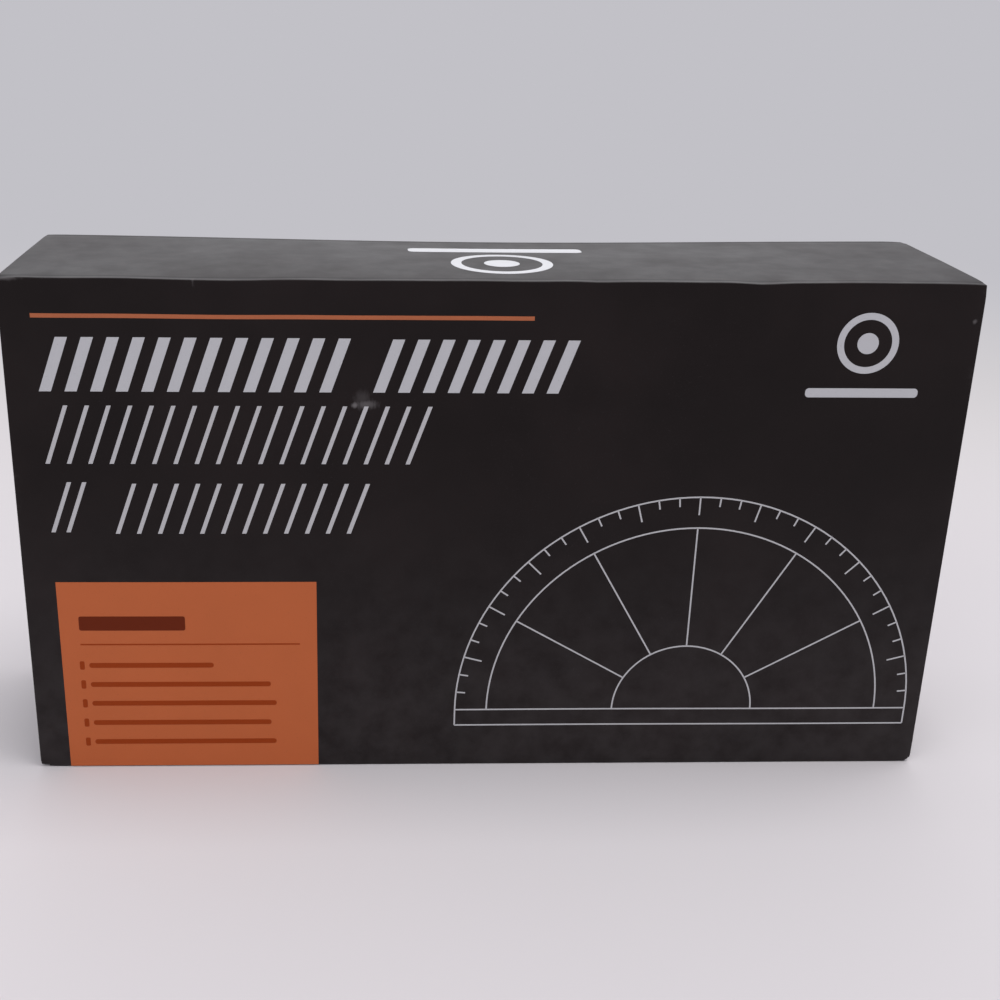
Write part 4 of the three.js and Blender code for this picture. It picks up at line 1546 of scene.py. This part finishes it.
@dataclass
class Roller:
    """Wooden grip on an aluminium core, with a wheel and a rubber tyre at each end.

    Attributes:
        groove_places: distances of the grip's decorative grooves from its middle.
        groove_depth, groove_half: a groove's depth and half width.
        skin_depth: how far inside the grip's largest radius its outer side begins.
        profile_step: most that two points of the grooved profile lie apart.
        ball, balls: diameter of a ball, and how many each bearing has.
        pitch_share: radius of the balls' circle as a share of the outer ring's.
        cage_half: half of the cage's width.
        cage_gap: from the middle to each half of the cage, between two balls.
        cage_sink: how far a half's swell stays under a ball's radius.
        cage_sheet: thickness of a half.
    """

    groove_places: tuple[float, ...] = (14.2 * MM, 15.9 * MM)
    groove_depth: float = 0.45 * MM
    groove_half: float = 0.5 * MM
    skin_depth: float = 4 * MM
    profile_step: float = 0.22 * MM
    ball: float = 4.0 * MM
    balls: int = 7
    pitch_share: float = 0.68
    cage_half: float = 0.75 * MM
    cage_gap: float = 0.35 * MM
    cage_sink: float = 0.15 * MM
    cage_sheet: float = 0.3 * MM

    def build(self) -> None:
        """Makes the grip, its bearings and both ends."""
        low, high = span("grip_barrel")
        self.middle = (low + high) / 2
        self.skin = (high[2] - low[2]) / 2 - self.skin_depth
        centre = tuple(self.middle)
        heart = (centre[0], centre[1] + 0.021, centre[2] + 0.016)
        wood = Wood((148, 92, 54), (70, 38, 22), heart, (0.0, 0.1, 0.05)).build("grip_wood")
        turned("grip_wood_barrel", "grip_barrel", wood, "wood", "base", 0.5 * MM, 192, shape=self.grooved)
        metals = {"core_aluminium": ((196, 198, 202), 0.05), "wheel_steel": ((196, 197, 200), 0.0),
                  "bearing_bright": ((212, 212, 214), -0.07), "screw_black_oxide": ((70, 70, 73), 0.12),
                  "ring_magnet_nickel": ((206, 203, 195), -0.03)}
        bare, steel, bright, dark, nickel = (TurnedMetal(colour, centre, dull=dull).build(name)
                                             for name, (colour, dull) in metals.items())
        tyre = Rubber((22, 22, 23), 0.55, 0.08).build("tyre_rubber_skin")
        turned("grip_core", "barrel_core", bare, "aluminium", "base", 0.3 * MM)
        turned("axle_rod", "axle", steel, "steel", "wheel_set", 0.3 * MM, 64)
        for side in ("left", "right"):
            turned(f"wheel_{side}_rim", f"wheel_{side}", steel, "steel", "wheel_set", 0.35 * MM, 192)
            turned(f"tyre_{side}_ring", f"tyre_{side}", tyre, "tyre_rubber", "wheel_set", 0.2 * MM, 192)
            magnet = f"wheel_magnet_{side}"
            turned(f"ring_magnet_{side}", magnet, nickel, "magnet_nickel", "wheel_set", 0.3 * MM)
            screw = softened(f"hex_screw_{side}", f"wheel_screw_{side}", dark, "black_screw", 0.15 * MM)
            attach(screw, "wheel_set")
            for ring, body in (("outer", "base"), ("inner", "wheel_set")):
                race = f"bearing_{side}_{ring}"
                turned(f"{race}_race", f"{race}_ring", bright, "bearing_steel", body, 0.2 * MM)
            self.cage(side, bright)

    def grooved(self, profile: Array) -> Array:
        """Cuts V-shaped grooves into the grip's outer side.

        Args:
            profile: n by 2, the place along the axis and the radius.

        Returns:
            The grooved profile.
        """
        pieces = []
        for start, end in zip(profile, np.roll(profile, -1, axis=0)):
            count = max(1, int(np.ceil(np.linalg.norm(end - start) / self.profile_step)))
            pieces.append(start + np.arange(count)[:, None] / count * (end - start))
        profile = np.concatenate(pieces)
        from_middle = np.abs(profile[:, 0] - self.middle[0])
        places = np.array(self.groove_places)[None, :]
        cut = np.clip(1 - np.abs(from_middle[:, None] - places) / self.groove_half, 0, 1).sum(axis=1)
        profile[:, 1] -= self.groove_depth * cut * (profile[:, 1] > self.skin)
        return profile

    def cage(self, side: str, finish: Material) -> None:
        """One bearing's balls in a pressed cage: two thin rings that swing out round each ball.

        Args:
            side: "left" or "right".
            finish: of balls and cage.
        """
        centre = np.array([middle_of(f"bearing_{side}_balls")[0], *self.middle[1:]])
        pitch = (span(f"bearing_{side}_outer_ring")[1][2] - self.middle[2]) * self.pitch_share
        arc = np.linspace(0, math.pi, 13)
        profile = np.stack([-np.cos(arc), np.sin(arc)], axis=1) * self.ball / 2 + [centre[0], 0]
        solids = []
        for turn in np.arange(self.balls) / self.balls * 2 * math.pi:
            place = centre + pitch * np.array([0, math.cos(turn), math.sin(turn)])
            solids.append(lathe(profile, place, Axis.X, 24, closed=False))
        around = np.linspace(0, 2 * math.pi, 168, endpoint=False)
        swell = (0.5 + 0.5 * np.cos(around * self.balls)) ** 0.5
        outer, inner = pitch + self.cage_half, pitch - self.cage_half
        for way in (-1, 1):
            level = way * (self.cage_gap + swell * (self.ball / 2 - self.cage_sink))
            sections = []
            for radius, lift in ((outer, 0), (outer, 1), (inner, 1), (inner, 0)):
                x = centre[0] + level + way * lift * self.cage_sheet
                y, z = centre[1] + radius * np.cos(around), centre[2] + radius * np.sin(around)
                sections.append(np.stack([x, y, z], axis=1))
            solids.append(swept(np.stack(sections, axis=1), loop=True))
        piece = make_piece(f"bearing_{side}_cage", together(solids), finish, "bearing_steel")
        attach(piece, "ball_cages")
        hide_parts(f"bearing_{side}_balls")


@dataclass
class Discs:
    """Abrasive discs: two of diamond on the roller and two of ceramic in the foam.

    Attributes:
        corner: how far the discs' corners are cut back.
    """

    corner: float = 0.25 * MM

    def build(self) -> None:
        """Makes the four plates and the four abrasives."""
        grits = {
            "coarse_diamond": Grit((112, 114, 118), (205, 208, 212), 3600, 0.7, 0.1 * MM, Axis.X, 3.4 * MM),
            "fine_diamond": Grit((142, 144, 148), (214, 216, 220), 6800, 0.6, 0.05 * MM, Axis.X, 2.4 * MM),
            "coarse_ceramic": Grit((196, 187, 170), (226, 219, 205), 3000, 0.0, 0.07 * MM, Axis.Y),
            "fine_ceramic": Grit((226, 223, 214), (244, 242, 236), 6400, 0.0, 0.03 * MM, Axis.Y),
        }
        for kind, grit in grits.items():
            axis = grit.axis
            body, turn = (kind, (0, 0, 0)) if axis is Axis.X else ("base", (0, 0, -math.pi / 2))
            steel = TurnedMetal((190, 191, 194), tuple(middle_of(f"{kind}_plate")), turn, 4200, 0.04)
            steel = steel.build(f"{kind}_backing_steel")
            turned(f"{kind}_backing", f"{kind}_plate", steel, "steel", body, self.corner, axis=axis)
            rough = grit.build(f"{kind}_grit")
            turned(f"{kind}_abrasive", f"{kind}_disc", rough, kind, body, self.corner, axis=axis)


@dataclass
class FoldedGlove:
    """A knitted glove folded to fit its pocket, with its cuff, fingers and thumb over the palm.

    Attributes:
        side: "left" or "right".
        cuff_first: whether the cuff lies at the low-X end.
        columns, rows: points along X and along Z.
        palm, layer: thickness of the layer below and of one folded over it.
        rib, rib_height: width and height of one of the cuff's ribs.
        cuff: length of the folded cuff.
        round_off: how round the outline is, from 0 to 1.
        fingers: middle across the glove, tip along it and half width of each, in millimetres.
        swell_frames: steps of the simulation.
        swell_cap: how far it may move a point.
    """

    side: str
    cuff_first: bool = True
    columns: int = 92
    rows: int = 78
    palm: float = 5.2 * MM
    layer: float = 8.3 * MM
    rib: float = 2.9 * MM
    rib_height: float = 0.55 * MM
    cuff: float = 25.0 * MM
    round_off: float = 0.34
    fingers: tuple[Triple, ...] = ((9.3, 36.0, 7.7), (24.4, 30.5, 8.0), (39.6, 32.0, 7.8), (54.0, 40.5, 7.1))
    swell_frames: int = 10
    swell_cap: float = 1.2 * MM

    def build(self, knit: Material, hem: Material) -> None:
        """Makes the glove and the stitched hem of its cuff.

        Args:
            knit, hem: materials of both.
        """
        node = f"glove_{self.side}"
        self.low, self.high = span(node)
        self.size = self.high - self.low
        piece = make_piece(f"{node}_knitted", self.surface(), knit, "knit", 60)
        self.swell(piece)
        self.rib_cuff(piece)
        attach(piece, "base")
        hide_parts(node)
        trim = make_piece(f"{node}_hem", self.hem(), hem, "knit", 60)
        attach(trim, "base")

    @staticmethod
    def lump(d: Array, half: float, base: float, thick: float) -> Array:
        """Height of a squashed roll: base plus thickness times the root of one less a power of d."""
        inside = np.clip(1 - np.clip(d / half, 0, 1) ** 2.1, 0, 1) ** 0.5
        return np.where(d < half, base + thick * inside, 0)

    def height(self, u: Array, v: Array) -> Array:
        """Height of the folded glove above its back, over its length u and its width v.

        The palm is a wavy sheet. The cuff and each finger are rolls on it, the thumb lies over
        them, and the highest of these at each place is the glove's face.

        Args:
            u, v: places along the glove and across it.

        Returns:
            The height at each place.
        """
        wave = np.sin(u / (7.3 * MM) + np.sin(v / (11 * MM))) + np.sin(v / (8.9 * MM) + 1.2)
        wave = 0.35 * MM * wave
        parts = [self.palm + wave]
        over = np.abs(u - self.cuff / 2 + 1.5 * MM)
        cuff = self.lump(over, self.cuff / 2, self.palm * 0.8, self.layer)
        parts.append(cuff + np.where(cuff > 0, 0.4 * wave, 0))
        for place, tip, half in self.fingers:
            sway = 0.9 * MM * np.sin(u / (13 * MM) + place)
            aside = v - place * MM - sway
            beyond = np.clip((tip + half * 0.8) * MM - u, 0, None) * 1.25
            d = np.sqrt(aside**2 + beyond**2)
            knuckles = [u - (tip + at) * MM - 0.15 * aside for at in (11, 21, 30)]
            creases = sum(0.55 * MM * bell(knuckle, 0.9 * MM) for knuckle in knuckles)
            finger = self.lump(d, half * MM, self.palm * 0.8, self.layer)
            parts.append(finger - creases * (d < half * MM) + wave * 0.5)
        start, end = np.array([64.0, 8.0]) * MM, np.array([38.0, 30.0]) * MM
        way = end - start
        share = np.clip(((u - start[0]) * way[0] + (v - start[1]) * way[1]) / (way @ way), 0, 1)
        d = np.hypot(u - start[0] - share * way[0], v - start[1] - share * way[1])
        half = (8.6 - 1.2 * share) * MM
        parts.append(self.lump(d, half, self.palm + self.layer * 0.35, self.layer * 0.75))
        return np.max(np.stack(np.broadcast_arrays(*parts)), axis=0)

    def outline(self, s: Array, t: Array) -> tuple[Array, Array]:
        """Lays a square grid on the glove: a rounded rectangle with valleys between the fingers.

        Args:
            s, t: places along the square and across it, from -1 to 1.

        Returns:
            Places along and across the glove.
        """
        x, y = s * np.sqrt(1 - self.round_off * t**2 / 2), t * np.sqrt(1 - self.round_off * s**2 / 2)
        u, v = (x + 1) / 2 * self.size[0], (y + 1) / 2 * self.size[2]
        valleys = np.abs(np.sin(math.pi * (v / MM - 2.0) / 14.9))
        u = u - np.clip(s, 0, 1) ** 8 * 2.2 * MM * (1 - valleys) ** 2
        return u, v + 0.5 * MM * t * np.sin(u / (9 * MM))

    def surface(self) -> Surface:
        """Front and back sheets in the pocket, over one grid, which meet at the glove's outline.

        The grid's places are even ones mixed with their sines, so that they lie closer at its sides.
        The front sheet's height is evened out twice and then scaled down to fit the pocket.

        Returns:
            Both sheets.
        """
        places = []
        for count in (self.columns, self.rows):
            even = np.linspace(-1, 1, count)
            sine = np.sin(even * math.pi / 2 * 0.999)
            places.append(0.55 * (sine / sine.max()) + 0.45 * even)
        s, t = np.meshgrid(*places)
        u, v = self.outline(s, t)
        high = self.height(u, v)
        for _ in range(2):
            wide = np.pad(high, 1, mode="edge")
            high = (wide[:-2, 1:-1] + wide[2:, 1:-1] + wide[1:-1, :-2] + wide[1:-1, 2:] + 2 * high) / 6
        fall = ((1 - np.abs(s) ** 8) * (1 - np.abs(t) ** 8)).clip(0, 1) ** 0.5
        seat = self.palm * 0.62
        front, back = seat + (high - seat) * fall, seat - seat * fall
        x = self.low[0] + u if self.cuff_first else self.high[0] - u
        z = self.low[2] + v
        seat, room = front[0, 0], self.size[1] - self.rib_height
        front = seat + (front - seat) * min(1, (room - seat) / (front.max() - seat))
        return together([grid(np.stack([x, self.high[1] - level, z], axis=-1)) for level in (front, back)])

    def swell(self, piece: Object) -> None:
        """Lets the knit grow and puff a little as cloth, so that it settles into soft wrinkles.

        The knit's rest lengths grow by a few hundredths under light pressure and no gravity. How far
        a point moves is then capped, and the result is written to the mesh.

        Args:
            piece: the glove.
        """
        before = vectors(piece.data)
        cloth = piece.modifiers.new("knit", "CLOTH")
        knit = cloth.settings
        knit.quality, knit.mass = 6, 0.3
        knit.tension_stiffness = knit.compression_stiffness = 12
        knit.shear_stiffness, knit.bending_stiffness = 5, 0.05
        knit.use_pressure, knit.uniform_pressure_force = True, 4
        knit.shrink_min = -0.03
        knit.effector_weights.gravity = 0
        cloth.collision_settings.use_collision = False
        cloth.point_cache.frame_start, cloth.point_cache.frame_end = 1, self.swell_frames
        for frame_number in range(1, self.swell_frames + 1):
            bpy.context.scene.frame_set(frame_number)
        move = vectors(settled(piece).data) - before
        piece.modifiers.clear()
        bpy.context.scene.frame_set(1)
        length = np.linalg.norm(move, axis=1, keepdims=True)
        move *= np.minimum(1, self.swell_cap / np.maximum(length, TINY))
        points = np.clip(before + move, self.low, self.high + [0, self.swell_cap, 0])
        piece.data.vertices.foreach_set("co", points.ravel())
        piece.data.update()

    def rib_cuff(self, piece: Object) -> None:
        """Subdivides the glove once and raises the cuff's ribs: rib height times a sine's size.

        Args:
            piece: the glove.
        """
        finer = piece.modifiers.new("finer", "SUBSURF")
        finer.levels = finer.render_levels = 1
        mesh = bpy.data.meshes.new_from_object(settled(piece))
        piece.modifiers.clear()
        piece.data = mesh
        points, normals = vectors(mesh), vectors(mesh, "normal")
        u = points[:, 0] - self.low[0] if self.cuff_first else self.high[0] - points[:, 0]
        on_cuff = np.clip((self.cuff - 2.5 * MM - u) / (2 * MM), 0, 1)
        ribs = np.abs(np.sin(math.pi * points[:, 2] / self.rib)) - 0.6
        facing = np.clip(-normals[:, 1] * 2, 0, 1)
        points[:, 1] -= self.rib_height * ribs * on_cuff * facing
        mesh.vertices.foreach_set("co", points.ravel())
        mesh.update()

    def hem(self) -> Surface:
        """A cord of overlocked yarn along the cuff's open edge, wound with a fine wave.

        Returns:
            The cord, a circle carried along the edge.
        """
        v = np.linspace(4.0 * MM, self.size[2] - 4.0 * MM, 260)
        u = np.full_like(v, self.cuff - 1.4 * MM) + 0.3 * MM * np.sin(v / (0.35 * MM))
        level = self.height(u - 1.2 * MM, v) - 0.5 * MM
        top = self.size[1] - 0.1 * MM
        radius = 1.0 * MM * np.clip(np.minimum(v - v[0], v[-1] - v) / (1.2 * MM), 0.25, 1) ** 0.5
        turn = np.linspace(0, 2 * math.pi, 12, endpoint=False)
        x = self.low[0] + u if self.cuff_first else self.high[0] - u
        centre = np.stack([x, self.high[1] - np.minimum(level, top - 1.1 * MM), self.low[2] + v], axis=1)
        ring = np.stack([np.cos(turn), np.sin(turn), 0 * turn], axis=1)
        return swept(centre[:, None] + ring[None] * radius[:, None, None])


# Print


@dataclass
class CoverPrint:
    """What is printed on the cover and the spine, with plain bars in place of words.

    Attributes:
        film: how far the print stands proud of the paper, enough to be drawn.
        line: width of a fine printed line.
        thickness: of the print, whose back lies in the paper.
        lean: how far a stripe leans, as a share of its height.
        handling: how the case is bent.
    """

    film: float = 0.05 * MM
    line: float = 0.42 * MM
    thickness: float = 0.09 * MM
    lean: float = 0.36
    handling: Handling = field(default_factory=Handling)

    def __post_init__(self) -> None:
        """Places the print just in front of the cover board's paper."""
        low, high = span("cover_panel")
        self.faces, self.top = (low[1], low[1] + self.thickness), high[2]

    def build(self) -> None:
        """Makes the printed areas, bars and lines."""
        pale = Ink((188, 188, 192), unevenness=0.06).build("pale_ink")
        fine = Ink((186, 185, 188), unevenness=0.08).build("fine_pale_ink")
        orange = Ink((186, 94, 47), unevenness=0.1).build("orange_ink")
        rule = Ink((178, 98, 60), unevenness=0.2).build("rule_ink")
        dark = Ink((100, 34, 8), unevenness=0.05, gloss=0.12).build("heading_ink")
        brown = Ink((146, 56, 12), unevenness=0.05, gloss=0.12).build("list_ink")
        self.place("print_rule", [self.bar(-118.3, 9.7, 131.4, 132.5)], rule)
        self.place("print_orange_panel", [self.bar(-117.7, -46.9, 0.25, 58.0)], orange)
        self.place("print_bold_stripes", self.stripes(-117.7, -37.3, 112.0, 126.4, 3.1, 6.4)
                   + self.stripes(-31.6, 21.9, 112.0, 126.2, 3.1, 6.4), pale)
        self.place("print_fine_stripes", self.stripes(-117.6, -16.0, 92.2, 108.2, 1.15, 5.6)
                   + self.stripes(-117.6, -107.3, 72.7, 87.0, 1.15, 5.6)
                   + self.stripes(-100.5, -32.3, 72.3, 86.6, 1.15, 5.6), fine)
        self.place("print_heading", [self.bar(-112.3, -83.2, 43.4, 47.7, 0.6)], dark, raised=True)
        self.place("print_list", self.list_bars(), brown, raised=True)
        self.place("print_round_mark", self.round_mark(), pale)
        self.place("print_angle_drawing", self.angle_drawing(), fine)
        # The spine's mark is the cover's pale ink painted lighter, as painted light for the brighter top.
        self.spine_mark(Ink((214, 214, 217), unevenness=0.06).build("spine_ink_painted_lighter"))

    def place(self, name: str, surfaces: list[Surface], ink: Material, raised: bool = False) -> None:
        """Joins printed surfaces, bends them as the case is bent and lets them ride on the cover.

        Args:
            name: the piece's name.
            surfaces: what is printed.
            ink: its material.
            raised: whether it lies on other print.
        """
        whole = together(surfaces)
        if raised:
            whole = whole.bent(lambda points: points - [0, self.film * 0.8, 0])
        piece = make_piece(name, whole.bent(self.handling), ink, "wrapped_board", 30)
        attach(piece, "cover")

    def bar(self, left: float, right: float, bottom: float, top: float, corner: float = 0.0) -> Surface:
        """A plain printed bar, from its ends and corner radius in millimetres."""
        return panel((left * MM, bottom * MM), (right * MM, top * MM), self.faces, corner * MM)

    def stripes(self, left: float, right: float, bottom: float, top: float, width: float,
                pitch: float) -> list[Surface]:
        """A row of slanting bars, spread evenly between its ends, in millimetres.

        Args:
            left, right: X of the first bar's lower left and the last bar's upper right corner.
            bottom, top: Z of the bars' ends.
            width: of a bar.
            pitch: from bar to bar, about.

        Returns:
            The bars.
        """
        lean = self.lean * (top - bottom)
        room = right - left - lean - width
        z = np.linspace(bottom, top, 5)
        bars = []
        for start in left + np.linspace(0, 1, round(room / pitch) + 1) * room:
            edge = start + lean * (z - bottom) / (top - bottom)
            sides = tuple(np.stack([x * MM, z * MM], axis=1) for x in (edge, edge + width))
            bars.append(strip(sides, self.faces))
        return bars

    def list_bars(self) -> list[Surface]:
        """The panel's fine rule and five rows of small bars.

        Returns:
            The bars.
        """
        bars = [self.bar(-112.3, -51.7, 38.9, 39.3)]
        rows = ((32.6, -75.8), (26.6, -60.0), (20.6, -58.5), (14.4, -60.1), (8.2, -58.8))
        for middle, right in rows:
            bars.append(self.bar(-112.9, -111.6, middle - 1.3, middle + 1.3, 0.4))
            bars.append(self.bar(-110.3, right, middle - 0.75, middle + 0.75, 0.7))
        return bars

    @staticmethod
    def target(centre: Pair, radius: float, width: float, dot: float, faces: Pair) -> list[Surface]:
        """A plain ring with a dot in it, from sizes in millimetres.

        Args:
            centre: its X and Z.
            radius, width: of the ring.
            dot: half of the radius of the dot.
            faces: Y of front and back, in metres.

        Returns:
            The ring and the dot.
        """
        rings = []
        for size, line in ((radius, width), (dot, 2 * dot)):
            circle = arc_path((centre[0] * MM, centre[1] * MM), size * MM, 360)[:-1]
            rings.append(stroke(circle, line * MM, faces, loop=True))
        return rings

    def round_mark(self) -> list[Surface]:
        """A plain ring with a dot, above a small bar."""
        ring = self.target((97.0, 125.8), 7.2, 1.8, 1.4, self.faces)
        return ring + [self.bar(82.0, 112.0, 111.2, 113.7, 1.0)]

    def angle_drawing(self) -> list[Surface]:
        """A protractor: three arcs, a base, graduations every five degrees and five rays.

        Returns:
            Its lines.
        """
        centre, outer, inner, hub = (57.0 * MM, 18.0 * MM), 65.0 * MM, 56.0 * MM, 20.0 * MM
        left, right, level, below = centre[0] - outer, centre[0] + outer, centre[1], centre[1] - 5 * MM
        lines = [arc_path(centre, radius, 180) for radius in (outer, inner, hub)]
        lines += [dashes((left, level), (right, level)), dashes((left, below), (right, below)),
                  dashes((left, below), (left, level)), dashes((right, below), (right, level))]
        for degrees in range(5, 180, 5):
            reach = 5.2 * MM if degrees % 15 == 0 else 2.6 * MM
            lines.append(self.ray(centre, outer - reach, outer, degrees))
        lines += [self.ray(centre, hub, inner, degrees) for degrees in range(30, 180, 30)]
        return [stroke(path, self.line, self.faces) for path in lines]

    @staticmethod
    def ray(centre: Pair, start: float, end: float, degrees: float) -> Array:
        """A straight line outwards from a centre between two radii."""
        way = np.array([math.cos(math.radians(degrees)), math.sin(math.radians(degrees))])
        return dashes(*(tuple(np.array(centre) + way * reach) for reach in (start, end)))

    def spine_mark(self, ink: Material) -> None:
        """The same plain mark on the spine, laid flat and facing backwards.

        Args:
            ink: its material, the pale ink painted lighter for the stronger light on the top.
        """
        faces = (0, self.thickness)
        bar = panel((-24.6 * MM, -25.5 * MM), (24.6 * MM, -18.5 * MM), faces, 2 * MM)
        middle = np.array([3.0 * MM, -8.0 * MM])

        def laid_flat(points: Array) -> Array:
            """Turns the plate's front up, with its upper side towards the front of the case."""
            x, y, z = points.T
            return np.stack([middle[0] - x, middle[1] - z, self.top + self.film - y], axis=1)

        flat = together(self.target((0, 0), 12.3, 2.8, 2.4, faces) + [bar])
        whole = flat.bent(laid_flat).bent(self.handling)
        piece = make_piece("print_spine_mark", whole, ink, "wrapped_board", 30)
        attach(piece, "base")


# Studio


def seen_plainly(nodes: Nodes) -> Socket:
    """1 for rays of the camera, of reflections and of glass, which see a plain background.

    Args:
        nodes: the tree that asks.

    Returns:
        The value.
    """
    rays = nodes.add("LightPath").outputs
    seen = nodes.math("MAXIMUM", rays["Is Camera Ray"], rays["Is Glossy Ray"])
    return nodes.math("MAXIMUM", seen, rays["Is Transmission Ray"])


@dataclass
class Studio:
    """Pale floor, soft lights and a camera that stands where the photograph was taken from.

    Attributes:
        place: of the camera.
        heading_deg: its turn to the right from looking along +Y.
        pitch_deg: how far it looks down.
        roll_deg: its turn about its own view.
        focal_px: focal length in pixels of a square frame.
        centre_px: where the view's axis meets the frame, from its left.
        frame_px: the frame's side.
        sensor_mm: width of the camera's sensor.
        sky: colour of the background behind the set.
        floor_half, floor_gap: half of the floor's side, and how far it lies under the case.
    """

    place: Triple = (-0.03424, -0.37439, 0.21491)
    heading_deg: float = 2.33
    pitch_deg: float = -21.10
    roll_deg: float = 0.91
    focal_px: float = 1375.8
    centre_px: float = 415.0
    frame_px: float = 1000.0
    sensor_mm: float = 36.0
    sky: Triple = (194, 193, 199)
    floor_half: float = 14.0
    floor_gap: float = 0.05 * MM

    def build(self) -> None:
        """Makes the floor, the lights, the world and the camera."""
        self.camera()
        self.floor()
        self.light("key_softbox", (0.45, -0.1, 2.2), (0, -0.1, 0.0), 1.3, 26.0)
        self.light("fill_softbox", (-1.1, -1.4, 1.2), (0, 0, 0.05), 1.4, 8.0)
        self.light("rear_softbox", (0.1, 1.7, 1.05), (0, 0, 0.1), 1.7, 5.2)
        self.world()

    def camera(self) -> None:
        """The camera, from its place, heading, pitch and roll."""
        data = bpy.data.cameras.new("camera")
        data.sensor_width = self.sensor_mm
        data.lens = self.focal_px / self.frame_px * self.sensor_mm
        data.shift_x = (self.frame_px / 2 - self.centre_px) / self.frame_px
        data.clip_start, data.clip_end = 0.02, 100
        camera = linked("camera", data)
        turn = (Matrix.Rotation(math.radians(-self.heading_deg), 4, "Z")
                @ Matrix.Rotation(math.radians(90 + self.pitch_deg), 4, "X")
                @ Matrix.Rotation(math.radians(self.roll_deg), 4, "Z"))
        camera.matrix_world = Matrix.Translation(self.place) @ turn
        bpy.context.scene.camera = camera

    def floor(self) -> None:
        """A wide pale floor just under the case, which becomes an even pale wall colour far away.

        Near the case it is lit and keeps its shadow. Further off, rays of the camera and of
        reflections see a plain colour in its place.
        """
        side = np.array([-1.0, 1.0]) * self.floor_half
        points = np.stack([*np.meshgrid(side, side), np.full((2, 2), -self.floor_gap)], axis=-1)
        coat = Coat("floor_sheet", Roughness=0.8, Specular_IOR_Level=0.3)
        mottle = coat.times(coat.noise(5.0, 3.0, 0.5), 0.08)
        coat.feed(Base_Color=coat.mix(mottle, linear(214, 209, 211), linear(180, 178, 182)))
        apart = coat.add("VectorMath", {0: coat.place, 1: (0.0, -0.1, 0.0)}, operation="DISTANCE")
        apart = apart.outputs["Value"]
        far = coat.times(coat.fade(apart, 0.22, 0.62), seen_plainly(coat))
        shade = coat.mix(coat.fade(apart, 0.35, 0.95), linear(217, 213, 215), linear(*self.sky))
        plain = coat.add("Emission", {"Color": shade}).outputs["Emission"]
        mixed = coat.add("MixShader", {0: far, 1: coat.shader.outputs["BSDF"], 2: plain}).outputs[0]
        coat.tree.links.new(mixed, coat.output.inputs["Surface"])
        mesh = bpy.data.meshes.new("floor")
        surface = grid(points)
        mesh.from_pydata(surface.points.tolist(), [], surface.faces)
        mesh.materials.append(coat.material)
        linked("floor", mesh)

    def light(self, name: str, place: Triple, target: Triple, size: float, watts: float) -> None:
        """One square area lamp.

        Args:
            name: the lamp's name.
            place, target: where it hangs and what it looks at.
            size, watts: its side and its power.
        """
        data = bpy.data.lights.new(name, "AREA")
        data.shape, data.size, data.energy = "SQUARE", size, watts
        lamp = linked(name, data)
        lamp.location = place
        lamp.rotation_euler = (Vector(target) - Vector(place)).to_track_quat("-Z", "Y").to_euler()

    def world(self) -> None:
        """An even pale sky that lights the set softly from all round."""
        world = bpy.data.worlds.new("studio_sky")
        world.use_nodes = True
        tree = world.node_tree
        tree.nodes.clear()
        nodes = Nodes(tree)
        lit = nodes.add("Background", {"Color": linear(214, 214, 220), "Strength": 0.87})
        plain = nodes.add("Background", {"Color": linear(*self.sky), "Strength": 1.0})
        mixed = nodes.add("MixShader", {0: seen_plainly(nodes), 1: lit.outputs[0], 2: plain.outputs[0]})
        nodes.add("OutputWorld", {"Surface": mixed.outputs[0]})
        bpy.context.scene.world = world


def main() -> None:
    """Builds the set in order."""
    logging.basicConfig(level=logging.INFO, format="%(message)s")
    bpy.context.scene.view_settings.view_transform = "Standard"
    Studio().build()
    GiftCase().build()
    CoverPrint().build()
    FoamInsert().build()
    AngleBlock().build()
    Roller().build()
    Discs().build()
    knit = Knit().build("glove_knit")
    hem = Knit(yarn=(186, 112, 52), fleck=(214, 150, 92), column=0.9 * MM, course=0.7 * MM).build("hem_yarn")
    FoldedGlove("left").build(knit, hem)
    FoldedGlove("right", cuff_first=False).build(knit, hem)


if __name__ == "__main__":
    main()
